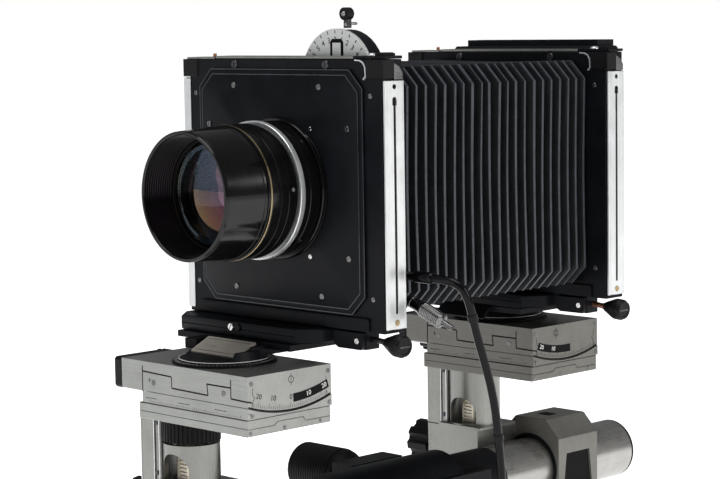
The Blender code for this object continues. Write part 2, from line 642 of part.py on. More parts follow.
def cable(origin, swing):
    x, y, z = shifted(SOCKET, origin)
    sleeve = turned("cable_sleeve", [(0, 27), (2.7, 27), (3.4, 25.4), (3.4, 13.6), (2.0, 12.8), (2.0, 0), (0, 0)],
                    (x, y, z), "X", "black_rubber", 20)
    smooth(sleeve)
    route = smooth_route(cable_route(), 11.0)
    line = bpy.data.curves.new("release_cable", "CURVE")
    line.dimensions = "3D"
    line.bevel_depth = CABLE_R * MM
    line.bevel_resolution = 2
    line.use_fill_caps = True
    path = line.splines.new("POLY")
    path.points.add(len(route) - 1)
    for point, place in zip(path.points, route):
        point.co = (*(place * MM), 1)
    made = bpy.data.objects.new("release_cable", line)
    PARTS.objects.link(made)
    line.materials.append(material("release_cable", "black_rubber"))
    way = (route[-1] - route[-2]).normalized()
    way.z = 0.0
    way.normalize()
    plunger = turned("release_plunger", [(0, 0), (3.4, 0), (3.4, -3), (2.9, -4), (2.9, -20), (5.5, -21), (5.5, -23),
                                         (1.6, -23.4), (1.6, -31), (4.4, -31.6), (4.4, -33), (0, -33.4)],
                     (0, 0, 0), "Z", "chrome", 20)
    start = route[-1] + way * 1.2
    plunger.matrix_world = (Matrix.Translation(start * MM)
                            @ (-way).to_track_quat("Z", "Y").to_matrix().to_4x4())
    sync = turned("sync_plug", [(0, 44), (1.6, 44), (1.8, 36), (4.6, 35), (4.6, 20), (3.6, 18), (3.6, 10), (1.7, 9),
                                (1.7, 0), (0, 0)], shifted(SYNC, origin), "X", "chrome", 20)
    anchor = Matrix.Translation(metres(*shifted(SYNC, origin)))
    sync.matrix_world = anchor @ Matrix.Rotation(math.radians(22), 4, "Y") @ anchor.inverted() @ sync.matrix_world
    smooth(plunger, sync)
    carry(swing, sleeve, made, plunger, sync)


# --- bellows and camera back ------------------------------------------------------------
BELLOWS_HALF, BELLOWS_CUT = 71.0, 11.0
BELLOWS_WALL = 4.0


def octagon(half, corner, centre):
    c = half - corner
    return [(centre[0] + u, centre[1] + v) for u, v in
            ((-half, -c), (-c, -half), (c, -half), (half, -c), (half, c), (c, half), (-c, half), (-half, c))]


def bellows():
    """The outer shape of the folded bellows, open at both ends."""
    start, end = FRONT_Y + FRAME_DEPTH + 14.0 + GAP, REAR_Y - GAP
    centre = (LENS_X, LENS_Z)
    skin = prism("bellows", octagon(BELLOWS_HALF, BELLOWS_CUT, centre), start, end, "Y", "bellows_cloth")
    core = prism("bellows_tool", octagon(BELLOWS_HALF - 13, 8, centre), start - 20, end + 20, "Y")
    cut(skin, core)
    return skin


def camera_back(origin, swing):
    """Focusing back: a frame behind the rear standard, with its ground glass."""
    def at(*point):
        return shifted(point, origin)

    near, far = FRAME_DEPTH + GAP, FRAME_DEPTH + 28.0
    frame = box("back_frame", at(-60, near, -72), at(60, far, 79.2), "black_enamel", 1.5)
    lid = box("lid_tool", at(-56, near + 10, 70), at(56, far - 1, 83.2))
    join(frame, lid)
    hole = box("back_light_tool", at(-50, near - 5, -62), at(50, far + 5, 62))
    cut(frame, hole)
    glass = box("ground_glass", at(-50 + GAP, near + 6, -62 + GAP), at(50 - GAP, near + 8, 62 - GAP), "ground_glass")
    carry(swing, frame, glass)


# --- assembly -------------------------------------------------------------------------
FRONT = (LENS_X, FRONT_Y, LENS_Z)
REAR = (LENS_X, REAR_Y, LENS_Z)

rail()
rail_clamp()
front = standard("front_", FRONT, FRONT_BLOCK_Y, FRONT_COLUMN_Y, 23.6, True)
rear = standard("rear_", REAR, REAR_BLOCK_Y, REAR_COLUMN_Y, 34.0, False)
lens(FRONT, front["swing"])
shutter(FRONT, front["swing"])
cable(FRONT, front["swing"])
bellows()
camera_back(REAR, rear["swing"])
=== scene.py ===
import math
import random

import bmesh
import bpy
from mathutils import Matrix, Vector


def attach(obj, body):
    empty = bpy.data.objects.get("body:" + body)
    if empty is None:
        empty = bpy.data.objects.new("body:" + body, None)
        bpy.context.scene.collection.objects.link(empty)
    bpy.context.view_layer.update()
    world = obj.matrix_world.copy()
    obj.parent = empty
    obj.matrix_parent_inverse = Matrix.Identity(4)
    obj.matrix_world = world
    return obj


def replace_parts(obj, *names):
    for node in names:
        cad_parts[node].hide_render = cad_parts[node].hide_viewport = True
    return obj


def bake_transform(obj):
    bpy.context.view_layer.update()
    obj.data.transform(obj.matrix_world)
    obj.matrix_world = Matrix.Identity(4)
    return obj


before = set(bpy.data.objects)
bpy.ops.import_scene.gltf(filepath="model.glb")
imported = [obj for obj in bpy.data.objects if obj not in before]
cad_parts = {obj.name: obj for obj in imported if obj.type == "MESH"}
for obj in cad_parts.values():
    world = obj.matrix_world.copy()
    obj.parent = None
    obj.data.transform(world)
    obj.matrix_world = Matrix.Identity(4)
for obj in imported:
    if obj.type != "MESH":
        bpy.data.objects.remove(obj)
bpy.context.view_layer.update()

MM = 0.001
X, Y, Z = Vector((1, 0, 0)), Vector((0, 1, 0)), Vector((0, 0, 1))
ORIGIN = {"front_": Vector((15.0, -95.0, 248.9)), "rear_": Vector((15.0, 104.2, 248.9))}
BLOCK_Y = {"front_": -33.0, "rear_": 12.7}      # drive block, from the frame's front plane
COLUMN_Y = {"front_": -37.0, "rear_": 16.2}
LENS = ORIGIN["front_"]
RAIL_Z = 42.0
FACING = {"-Y": (X, Z), "+Y": (-X, Z), "+X": (Y, Z), "-X": (-Y, Z), "+Z": (X, Y), "-Z": (X, -Y)}
CHAMFER = 1.2      # how far a chamfered edge comes in, against how far down it runs
SLOT = 0.14        # half the width of a screw's slot, against the head's radius
SHARP = 32.0       # degrees: edges flatter than this are shaded smooth


# --- camera -------------------------------------------------------------------------
def camera():
    """The photograph's viewpoint: azimuth 45.2, elevation 5.8 and a slight roll."""
    a, e, roll = (math.radians(v) for v in (45.2396, 5.8316, -0.8533))
    back = Vector((math.sin(a) * math.cos(e), -math.cos(a) * math.cos(e), math.sin(e)))
    right = (-back).cross(Z).normalized()
    up = right.cross(-back)
    level = math.cos(roll) * right + math.sin(roll) * up
    up = -math.sin(roll) * right + math.cos(roll) * up
    made = bpy.data.objects.new("camera", bpy.data.cameras.new("camera"))
    made.data.sensor_width = 36.0
    made.data.lens = 107.53
    made.data.clip_end = 60.0
    pose = Matrix((level, up, back)).transposed().to_4x4()
    pose.translation = Vector((0.94513, -0.95267, 0.34695))
    made.matrix_world = pose
    bpy.context.collection.objects.link(made)
    bpy.context.scene.camera = made


camera()


# --- materials ------------------------------------------------------------------------
LOOKS = {}


def finish(name, colour, second, metallic, rough, grain=900.0, bump=0.00004, streak=None, spread=0.10,
           patch=60.0, coat=0.0, **sockets):
    """Two tones in soft patches, a varied roughness and a fine grain; streak pulls the grain along an axis."""
    made = bpy.data.materials.new(name)
    made.use_nodes = True
    tree = made.node_tree
    shader = tree.nodes["Principled BSDF"]

    def node(kind, **values):
        new = tree.nodes.new(kind)
        for key, value in values.items():
            new.inputs[key.replace("_", " ")].default_value = value
        return new

    place = tree.nodes.new("ShaderNodeTexCoord").outputs["Object"]
    stretch = node("ShaderNodeMapping", Scale=streak or (1, 1, 1))
    tree.links.new(place, stretch.inputs["Vector"])
    clouds = node("ShaderNodeTexNoise", Scale=patch, Detail=5.0, Roughness=0.6)
    tree.links.new(place, clouds.inputs["Vector"])
    fine = node("ShaderNodeTexNoise", Scale=grain, Detail=3.0, Roughness=0.65)
    tree.links.new(stretch.outputs[0], fine.inputs["Vector"])
    ramp = tree.nodes.new("ShaderNodeValToRGB")
    ramp.color_ramp.elements[0].position, ramp.color_ramp.elements[1].position = 0.32, 0.70
    ramp.color_ramp.elements[0].color = (*colour, 1)
    ramp.color_ramp.elements[1].color = (*second, 1)
    blend = node("ShaderNodeMix", Factor=0.45)
    tree.links.new(clouds.outputs["Fac"], blend.inputs["A"])
    tree.links.new(fine.outputs["Fac"], blend.inputs["B"])
    tree.links.new(blend.outputs["Result"], ramp.inputs["Fac"])
    tree.links.new(ramp.outputs["Color"], shader.inputs["Base Color"])
    span = node("ShaderNodeMapRange", From_Min=0.3, From_Max=0.7, To_Min=max(0.02, rough - spread),
                To_Max=min(1.0, rough + spread))
    tree.links.new(blend.outputs["Result"], span.inputs["Value"])
    tree.links.new(span.outputs["Result"], shader.inputs["Roughness"])
    if bump:
        relief = node("ShaderNodeBump", Strength=0.6, Distance=bump)
        tree.links.new(fine.outputs["Fac"], relief.inputs["Height"])
        tree.links.new(relief.outputs["Normal"], shader.inputs["Normal"])
    shader.inputs["Metallic"].default_value = metallic
    shader.inputs["Coat Weight"].default_value = coat
    for key, value in sockets.items():
        shader.inputs[key.replace("_", " ")].default_value = value
    made.diffuse_color = (*colour, 1)
    LOOKS[name] = made
    return made


BRUSH_Z, BRUSH_X, BRUSH_Y = (1, 1, 0.03), (0.03, 1, 1), (1, 0.03, 1)
# the record's material slots
finish("black_anodised", (0.003, 0.0033, 0.0042), (0.008, 0.0088, 0.0115), 0.0, 0.40, 1500, 0.00003,
       spread=0.08, Specular_IOR_Level=0.10)
finish("gloss_black", (0.002, 0.002, 0.0025), (0.005, 0.0045, 0.0045), 0.0, 0.13, 700, 0.000004, spread=0.05,
       coat=0.10, Coat_Roughness=0.05, Specular_IOR_Level=0.25)
finish("black_knob", (0.003, 0.003, 0.0035), (0.009, 0.009, 0.0098), 0.0, 0.45, 1100, 0.00006,
       Specular_IOR_Level=0.14)
finish("satin_aluminium", (0.235, 0.24, 0.23), (0.35, 0.355, 0.335), 0.85, 0.36, 1100, 0.00002, BRUSH_X, 0.07)
finish("bright_rail", (0.62, 0.63, 0.63), (0.80, 0.81, 0.82), 0.7, 0.34, 1100, 0.00002, BRUSH_Z, 0.06)
finish("cast_grey", (0.135, 0.13, 0.117), (0.22, 0.215, 0.195), 0.5, 0.48, 800, 0.0001, spread=0.08)
finish("chrome", (0.52, 0.52, 0.52), (0.70, 0.70, 0.69), 1.0, 0.16, 900, 0.000006, spread=0.06)
finish("brass", (0.34, 0.26, 0.14), (0.50, 0.41, 0.26), 1.0, 0.28, 900, 0.00001, spread=0.08)
finish("champagne", (0.50, 0.45, 0.36), (0.66, 0.61, 0.51), 0.75, 0.33, 1100, 0.00002, BRUSH_Z, 0.07)
finish("bellows", (0.004, 0.0045, 0.006), (0.010, 0.011, 0.014), 0.0, 0.55, 650, 0.00016, spread=0.10,
       patch=90.0, Specular_IOR_Level=0.25)
finish("coated_glass", (0.62, 0.54, 0.60), (0.72, 0.64, 0.70), 0.0, 0.03, 300, 0.0, spread=0.01,
       Transmission_Weight=1.0, IOR=1.55, Thin_Film_Thickness=300.0, Thin_Film_IOR=1.38)
finish("ground_glass", (0.72, 0.76, 0.76), (0.84, 0.87, 0.86), 0.0, 0.62, 4000, 0.00002, spread=0.08,
       Transmission_Weight=0.35, IOR=1.5)
finish("dial_silver", (0.62, 0.63, 0.62), (0.76, 0.76, 0.75), 0.6, 0.36, 1600, 0.00001)
finish("cable_rubber", (0.002, 0.002, 0.0026), (0.005, 0.005, 0.0062), 0.0, 0.20, 1500, 0.00001,
       Specular_IOR_Level=0.14)
# variants of them
# a lighter blue-grey for the bellows' ridge tops: a painted highlight
RIDGE_HIGHLIGHT = finish("ridge_highlight", (0.018, 0.021, 0.027), (0.060, 0.067, 0.082), 0.0, 0.45, 700, 0.0001,
                     spread=0.10, patch=140.0, Specular_IOR_Level=0.3)
EDGE_BLACK = finish("edge_black", (0.02, 0.022, 0.028), (0.05, 0.055, 0.066), 0.0, 0.30, 1500, 0.00002)
SCREW_GREY = finish("screw_grey", (0.10, 0.10, 0.10), (0.26, 0.26, 0.26), 0.9, 0.30, 1200, 0.00001)
RAIL_METAL = finish("rail_metal", (0.32, 0.315, 0.30), (0.47, 0.46, 0.44), 0.85, 0.30, 1100, 0.00002, BRUSH_Y,
                    0.08)
UPRIGHT_METAL = finish("upright_metal", (0.19, 0.19, 0.178), (0.31, 0.308, 0.29), 0.85, 0.33, 1100, 0.00002,
                       BRUSH_Z)
# a darker, warmer copy of the block metal for the rear standard: painted shade
SHADED_CASTING = finish("shaded_casting", (0.115, 0.11, 0.10), (0.185, 0.18, 0.163), 0.7, 0.38, 900, 0.00003,
                      BRUSH_X)
PLUG_METAL = finish("plug_metal", (0.10, 0.10, 0.10), (0.24, 0.24, 0.235), 1.0, 0.24, 900, 0.000006,
                    spread=0.06)
PLATE_METAL = finish("plate_metal", (0.52, 0.47, 0.40), (0.68, 0.63, 0.55), 0.55, 0.34, 1100, 0.00002, BRUSH_X)
MARK_BLACK = finish("mark_black", (0.003, 0.003, 0.0035), (0.006, 0.006, 0.007), 0.0, 0.6, 1500, 0.00001,
                    Specular_IOR_Level=0.08)
MARK_WHITE = finish("mark_white", (0.74, 0.74, 0.72), (0.86, 0.86, 0.84), 0.0, 0.5, 1500, 0.00001)
MARK_RED = finish("mark_red", (0.55, 0.03, 0.02), (0.7, 0.06, 0.04), 0.0, 0.45, 1500, 0.00001)
DARK_STEEL = finish("dark_steel", (0.05, 0.05, 0.055), (0.12, 0.12, 0.13), 0.9, 0.32, 1200, 0.00001)
COPPER = finish("copper", (0.30, 0.13, 0.07), (0.45, 0.22, 0.13), 0.9, 0.35, 1200, 0.00001)
# near-black matt: the lens lining, sockets, inlays and joints, and painted shade in the bearer's flank recess and top
# window
MATT_LINING_AND_SHADE = finish("matt_lining_and_shade", (0.004, 0.004, 0.004), (0.009, 0.009, 0.009), 0.0, 0.7, 1500, 0.00004,
                     Specular_IOR_Level=0.1)
AMBER_GLASS = finish("amber_glass", (0.012, 0.004, 0.003), (0.03, 0.012, 0.008), 0.0, 0.04, 300, 0.0,
                     spread=0.01, coat=1.0, IOR=1.75, Thin_Film_Thickness=360.0, Thin_Film_IOR=1.38,
                     Specular_Tint=(1.0, 0.72, 0.5, 1))
VIOLET_GLASS = finish("violet_glass", (0.006, 0.003, 0.006), (0.014, 0.007, 0.014), 0.0, 0.05, 300, 0.0,
                      spread=0.01, coat=1.0, IOR=1.75, Thin_Film_Thickness=520.0, Thin_Film_IOR=1.38,
                      Specular_Tint=(0.8, 0.65, 1.0, 1))


# --- meshes ---------------------------------------------------------------------------
def at(prefix, x, y, z):
    return ORIGIN[prefix] + Vector((x, y, z))


def put(name, work, body, slot, look=None, sharp=SHARP, bevel=0.0):
    """The bmesh, in millimetres, as a piece that rides on a body."""
    bmesh.ops.recalc_face_normals(work, faces=work.faces)
    bmesh.ops.scale(work, vec=(MM, MM, MM), verts=work.verts)
    for face in work.faces:
        face.smooth = True
    for edge in work.edges:
        edge.smooth = len(edge.link_faces) == 2 and edge.calc_face_angle(0.0) < math.radians(sharp)
    mesh = bpy.data.meshes.new(name)
    work.to_mesh(mesh)
    work.free()
    return dress(name, mesh, body, slot, look, bevel)


def dress(name, mesh, body, slot, look=None, bevel=0.0, segments=2):
    """A mesh in metres as a piece: its look (the slot's material unless a look is given), worn edges and body.
    Without a body it is left unattached.
    """
    made = bpy.data.objects.new(name, mesh)
    bpy.context.collection.objects.link(made)
    mesh.materials.clear()
    mesh.materials.append(look or LOOKS[slot])
    if bevel:
        edge = made.modifiers.new("edges", "BEVEL")
        edge.width, edge.segments, edge.limit_method = bevel * MM, segments, "ANGLE"
        edge.angle_limit = math.radians(SHARP)
        edge.harden_normals = True
    if body:
        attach(made, body)
    return made


def plane(face, *point):
    """Where a face's own right, up and outward directions are the local X, Y and Z."""
    right, up = FACING[face]
    made = Matrix((right, up, right.cross(up))).transposed().to_4x4()
    made.translation = Vector(point)
    return made


def aimed(point, way, up=Z):
    """The same for any outward direction."""
    way = Vector(way).normalized()
    right = Vector(up).cross(way).normalized() if abs(Vector(up).dot(way)) < 0.99 else X
    made = Matrix((right, way.cross(right), way)).transposed().to_4x4()
    made.translation = Vector(point)
    return made


def arc(centre, radius, start, end, count):
    return [(centre[0] + radius * math.cos(math.radians(start + (end - start) * i / count)),
             centre[1] + radius * math.sin(math.radians(start + (end - start) * i / count)))
            for i in range(count + 1)]


def spun(degrees, axis="Z"):
    return Matrix.Rotation(math.radians(degrees), 4, axis)


class Detail:
    """Small shapes of one finish, gathered in one mesh that rides on one body. A shape is made in
    the local axes of a plane: u to the right, v up and h outwards."""

    def __init__(self, name, body, slot="black_anodised", look=None, bevel=0.0):
        self.name, self.body, self.slot, self.look, self.bevel = name, body, slot, look, bevel
        self.work = bmesh.new()

    def place(self, base, points, faces):
        verts = [self.work.verts.new(base @ Vector(p)) for p in points]
        for face in faces:
            self.work.faces.new([verts[i] for i in face])
        return self

    def plate(self, base, outline, low, high, inset=0.0):
        """An extruded outline; inset chamfers its outer face."""
        n = len(outline)
        centre = Vector((sum(p[0] for p in outline) / n, sum(p[1] for p in outline) / n))
        rings = [(low, 0.0), (high - inset, 0.0)] + ([(high, inset * CHAMFER)] if inset else [])
        points = [(*(Vector(p) + (centre - Vector(p)).normalized() * pull), height)
                  for height, pull in rings for p in outline]
        faces = [tuple(range(n))[::-1], tuple(range(len(points) - n, len(points)))]
        faces += [(r + i, r + (i + 1) % n, r + n + (i + 1) % n, r + n + i)
                  for r in range(0, len(points) - n, n) for i in range(n)]
        return self.place(base, points, faces)

    def rect(self, base, u0, v0, u1, v1, low, high, inset=0.0):
        return self.plate(base, [(u0, v0), (u1, v0), (u1, v1), (u0, v1)], low, high, inset)

    def round(self, base, u, v, profile, steps=24, closed=False):
        """A turned shape: profile points are (radius, height)."""
        points, faces, rows = [], [], []
        for radius, height in profile:
            count = steps if radius else 1
            rows.append([len(points) + i % count for i in range(steps)])
            points += [(u + radius * math.cos(2 * math.pi * i / steps),
                        v + radius * math.sin(2 * math.pi * i / steps), height) for i in range(count)]
        for low, high in zip(rows, rows[1:] + rows[:1] if closed else rows[1:]):
            for i in range(steps):
                j = (i + 1) % steps
                face = tuple(dict.fromkeys((low[i], low[j], high[j], high[i])))
                if len(face) > 2:
                    faces.append(face)
        return self.place(base, points, faces)

    def screw(self, base, u, v, radius, height, turn=0.0, low=0.0):
        """A slotted head: a low disc and two raised halves with the slot between them."""
        disc = low + height * 0.45
        self.round(base, u, v, [(0, low), (radius, low), (radius, disc), (0, disc)], 24)
        reach = math.degrees(math.asin(SLOT))
        for side in (0, 180):
            spin = Matrix.Rotation(math.radians(turn + side), 2)
            edge = [spin @ Vector(p) + Vector((u, v)) for p in arc((0, 0), radius * 0.985, reach, 180 - reach, 10)]
            self.plate(base, edge, low + height * 0.3, low + height, radius * 0.12)
        return self

    def screws(self, base, spots, radius, height, turn=0.0, step=0.0, low=0.0):
        for i, (u, v) in enumerate(spots):
            self.screw(base, u, v, radius, height, turn + step * i, low)
        return self

    def stroke(self, base, points, width, low, high):
        """A flat line of constant width through the points."""
        points, sides = [Vector(p) for p in points], []
        for i, p in enumerate(points):
            ahead, behind = points[min(i + 1, len(points) - 1)] - p, p - points[max(i - 1, 0)]
            way = (ahead.normalized() + behind.normalized()).normalized() * width / 2
            sides.append((p + Vector((-way.y, way.x)), p - Vector((-way.y, way.x))))
        for (a, b), (c, d) in zip(sides, sides[1:]):
            self.plate(base, [a, b, d, c], low, high)
        return self

    def label(self, base, text, u, v, size, high, turn=0.0):
        """Plain figures, such as the numbers of a scale."""
        curve = bpy.data.curves.new("figures", "FONT")
        curve.body, curve.size, curve.extrude = text, size, high / 2
        curve.align_x, curve.align_y, curve.resolution_u = "CENTER", "CENTER", 3
        holder = bpy.data.objects.new("figures", curve)
        mesh = bpy.data.meshes.new_from_object(holder)
        mesh.transform(base @ Matrix.Translation((u, v, high / 2)) @ spun(turn))
        self.work.from_mesh(mesh)
        bpy.data.objects.remove(holder)
        bpy.data.curves.remove(curve)
        bpy.data.meshes.remove(mesh)
        return self

    def done(self, *nodes):
        made = put(self.name, self.work, self.body, self.slot, self.look, bevel=self.bevel)
        if nodes:
            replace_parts(made, *nodes)
        return made


def cutter(detail):
    """A detail's shapes as a mesh object for cutting, in metres."""
    bmesh.ops.recalc_face_normals(detail.work, faces=detail.work.faces)
    bmesh.ops.scale(detail.work, vec=(MM, MM, MM), verts=detail.work.verts)
    mesh = bpy.data.meshes.new("cutter")
    detail.work.to_mesh(mesh)
    detail.work.free()
    made = bpy.data.objects.new("cutter", mesh)
    bpy.context.collection.objects.link(made)
    return made


def groove():
    return Detail("groove", None)


def refined(node, body, slot, bevel=0.4, look=None, cuts=(), segments=2):
    """A CAD node's own shape, cleaned, grooved and with worn round edges."""
    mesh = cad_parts[node].data.copy()
    work = bmesh.new()
    work.from_mesh(mesh)
    bmesh.ops.remove_doubles(work, verts=work.verts, dist=1e-6)
    bmesh.ops.dissolve_limit(work, angle_limit=math.radians(1.0), verts=work.verts, edges=work.edges)
    work.to_mesh(mesh)
    work.free()
    for shapes in cuts:
        tool = cutter(shapes)
        holder = bpy.data.objects.new("holder", mesh)
        bpy.context.collection.objects.link(holder)
        change = holder.modifiers.new("cut", "BOOLEAN")
        change.operation, change.object, change.solver = "DIFFERENCE", tool, "EXACT"
        change.use_self = True
        bpy.context.view_layer.update()
        seen = holder.evaluated_get(bpy.context.evaluated_depsgraph_get())
        mesh = bpy.data.meshes.new_from_object(seen)
        bpy.data.objects.remove(holder)
        bpy.data.objects.remove(tool)
    work = bmesh.new()
    work.from_mesh(mesh)
    bmesh.ops.dissolve_limit(work, angle_limit=math.radians(0.5), verts=work.verts, edges=work.edges)
    for face in work.faces:
        face.smooth = True
        face.material_index = 0
    for edge in work.edges:
        edge.smooth = len(edge.link_faces) == 2 and edge.calc_face_angle(0.0) < math.radians(SHARP)
    work.to_mesh(mesh)
    work.free()
    made = dress(node + "_body", mesh, body, slot, look, bevel, segments)
    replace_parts(made, node)
    return made


def turned(name, body, slot, profile, base, steps=96, look=None, closed=False, nodes=()):
    return Detail(name, body, slot, look).round(base, 0, 0, profile, steps, closed).done(*nodes)


# --- release cable ----------------------------------------------------------------------
CABLE_R = 2.5
COIL_TURNS, COIL_CENTRE = 1.42, (146.0, -6.5)
COIL_RADIUS, COIL_GROWTH = 24.0, 6.6  # of its first turn, and how much wider each turn gets


def smooth_route(points, step):
    """Points every step along a Catmull-Rom curve through the given points."""
    points = [Vector(p) for p in points]
    ends = [2 * points[0] - points[1]] + points + [2 * points[-1] - points[-2]]
    fine = []
    for a, b, c, d in zip(ends, ends[1:], ends[2:], ends[3:]):
        for i in range(24):
            t = i / 24
            fine.append(0.5 * ((2 * b) + (c - a) * t + (2 * a - 5 * b + 4 * c - d) * t * t
                               + (3 * b - a - 3 * c + d) * t ** 3))
    fine.append(points[-1])
    total = sum((b - a).length for a, b in zip(fine, fine[1:]))
    spacing = total / round(total / step)
    walked, due, result = 0.0, spacing, [fine[0]]
    for a, b in zip(fine, fine[1:]):
        length = (b - a).length
        while due <= walked + length + 1e-6 and len(result) < round(total / spacing):
            result.append(a.lerp(b, (due - walked) / length))
            due += spacing
        walked += length
    result.append(fine[-1])
    return result


def cable_route():
    """The cable's middle line: out of its sleeve, down, and round in loose turns on the floor."""
    hang = [(114.6, -70.5, 200.4), (119.0, -70.5, 200.3), (124.0, -70.2, 199.9), (130.0, -69.2, 198.6),
            (134.4, -67.6, 195.0), (136.4, -65.0, 187.6), (136.4, -62.0, 178.4), (136.4, -58.5, 168.0),
            (137.0, -54.0, 154.6), (137.6, -49.0, 139.0), (137.4, -45.0, 124.6), (136.3, -41.0, 107.0),
            (134.4, -36.6, 86.0), (132.6, -33.2, 64.0), (131.4, -31.2, 42.0), (131.8, -30.6, 24.0),
            (134.6, -30.5, 12.0), (139.6, -30.5, 5.2)]
    turns, count = [], round(COIL_TURNS * 20)
    for i in range(count + 1):
        turn = math.radians(-90 + 360 * COIL_TURNS * i / count)
        radius = COIL_RADIUS + COIL_GROWTH * COIL_TURNS * i / count
        turns.append((COIL_CENTRE[0] + radius * math.cos(turn), COIL_CENTRE[1] + radius * math.sin(turn),
                      CABLE_R + 0.3 + max(0.0, i - count + 2) * 1.5))
    return hang + turns


def release_cable():
    route = smooth_route(cable_route(), 3.0)
    line = bpy.data.curves.new("release_cable_line", "CURVE")
    line.dimensions = "3D"
    line.bevel_depth, line.bevel_resolution, line.use_fill_caps = CABLE_R * MM, 4, True
    path = line.splines.new("POLY")
    path.points.add(len(route) - 1)
    for point, place in zip(path.points, route):
        point.co = (*(place * MM), 1)
    path.use_smooth = True
    made = bpy.data.objects.new("release_cable_line", line)
    bpy.context.collection.objects.link(made)
    line.materials.append(LOOKS["cable_rubber"])
    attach(made, "front_swing")
    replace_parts(made, "release_cable")
    way = route[-1] - route[-2]
    way.z = 0.0
    way.normalize()
    base = aimed(route[-1] + way * 1.2, way)
    ribs = []
    for i in range(8):
        ribs += [(2.75, 4.6 + i * 1.9), (2.9, 5.1 + i * 1.9), (2.9, 5.9 + i * 1.9), (2.75, 6.4 + i * 1.9)]
    profile = [(0, 0), (3.2, 0), (3.4, 0.3), (3.4, 2.8), (2.9, 4.0)] + ribs + \
        [(2.9, 20), (5.3, 21), (5.5, 21.3), (5.5, 22.7), (5.2, 23), (1.6, 23.4), (1.6, 31), (4.2, 31.6), (4.4, 31.9),
         (4.4, 33), (3.6, 33.4), (0, 33.4)]
    plunger = turned("release_plunger_knob", "front_swing", "chrome", profile, base, 48, nodes=("release_plunger",))
    # the sleeve that protects the cable where it leaves the shutter, with moulded rings
    x, y, z = at("front_", 72.3, 24.5, -48.5)
    rings = []
    for i in range(9):
        h = 3.5 + i * 1.0
        rings += [(2.1, h), (2.5, h + 0.2), (2.5, h + 0.6), (2.1, h + 0.8)]
    profile = [(0, 0), (2.0, 0), (2.0, 3.0)] + rings + [(2.0, 12.8), (3.3, 13.6), (3.4, 14.2), (3.4, 25.2), (3.2, 26),
                                                        (2.7, 27), (0, 27)]
    turned("cable_grip", "front_swing", "cable_rubber", profile, aimed((x, y, z), X), 40, nodes=("cable_sleeve",))
    turned("cable_ferrule", "front_swing", "chrome", [(2.2, 0.1), (3.2, 0.1), (3.2, 2.6), (2.8, 3.0), (2.2, 3.0)],
           aimed((x, y, z), X), 32, closed=True)
    for index, place in ((13, "upper"), (38, "lower")):
        way = (route[index + 1] - route[index - 1]).normalized()
        turned("cable_band_" + place, "front_swing", "black_knob",
               [(2.45, -2.2), (3.0, -2.0), (3.0, 2.0), (2.45, 2.2)], aimed(route[index], way), 28, closed=True)


release_cable()


# --- lens and board -----------------------------------------------------------------------
FORWARD = plane("-Y", *LENS)          # heights run towards the subject
BOARD_FACE = 2.3
BAFFLE_STEPS = 12


def octagon(half, corner):
    c = half - corner
    return [(-half, -c), (-c, -half), (c, -half), (half, -c), (half, c), (c, half), (-c, half), (-half, c)]


def lens_board():
    """A thin plate with cut corners, a stepped double edge and a round opening."""
    work = bmesh.new()

    def loop(points, height):
        return [work.verts.new(FORWARD @ Vector((u, v, height))) for u, v in points]

    def wall(low, high):
        for i in range(len(low)):
            j = (i + 1) % len(low)
            work.faces.new([low[i], low[j], high[j], high[i]])

    rings = [loop(octagon(half, corner), height) for half, corner, height in (
        (70.0, 10.6, 0.3), (70.0, 10.6, 1.3), (69.3, 10.3, 1.6), (67.4, 9.9, 1.6), (66.9, 9.7, 2.1),
        (66.5, 9.6, BOARD_FACE))]
    bores = [loop(arc((0, 0), 31, 0, 360, 64)[:64], height) for height in (0.3, BOARD_FACE)]
    for low, high in [*zip(rings, rings[1:]), bores[::-1]]:
        wall(low, high)
    for pair in zip((rings[0], rings[-1]), bores):
        edges = [work.edges.get((a, b)) for ring in pair for a, b in zip(ring, ring[1:] + ring[:1])]
        bmesh.ops.triangle_fill(work, edges=edges, use_beauty=True)
    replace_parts(put("lens_board_plate", work, "front_swing", "black_anodised"), "lens_board")
    # lighter lines along the board's two step edges: painted highlights
    edge = Detail("board_edge_highlights", "front_swing", look=EDGE_BLACK)
    for half, corner, height in ((69.9, 10.55, 1.32), (66.9, 9.75, 2.12)):
        ring = octagon(half, corner)
        for a, b in zip(ring, ring[1:] + ring[:1]):
            edge.stroke(FORWARD, [a, b], 0.5, height, height + 0.2)
    edge.done()
    Detail("board_screws", "front_swing", look=SCREW_GREY).screws(
        FORWARD, [(-37.8, 60.4), (35.5, 59.9), (-60.9, 36.7), (58.3, 36.4), (-38.6, -60.7), (35.6, -61.2),
                  (58.4, -37.9), (-60.9, -37.9)], 1.8, 0.5, 0, 37, BOARD_FACE).done()
    Detail("board_bright_screws", "front_swing", "chrome").screws(
        FORWARD, [(27.6, 35.6), (26.5, -38.6), (-27.6, 35.6), (-26.5, -38.6)], 1.5, 0.5, 20, 50, BOARD_FACE).done()
    holes = Detail("board_sockets", "front_swing", look=MATT_LINING_AND_SHADE)
    for u, v in ((29.6, 30.3), (29.8, -31.5)):
        holes.round(FORWARD, u, v, [(0.8, BOARD_FACE - 0.2), (1.5, BOARD_FACE + 0.15), (1.2, BOARD_FACE + 0.2),
                                    (0.7, BOARD_FACE)], 20, True)
    holes.done()


def bowed(radius, count, height, drop):
    """The profile of a lens surface: its middle at a height, falling off by the radius squared."""
    return [(radius * i / count, height - (radius * i / count) ** 2 / drop) for i in range(count + 1)]


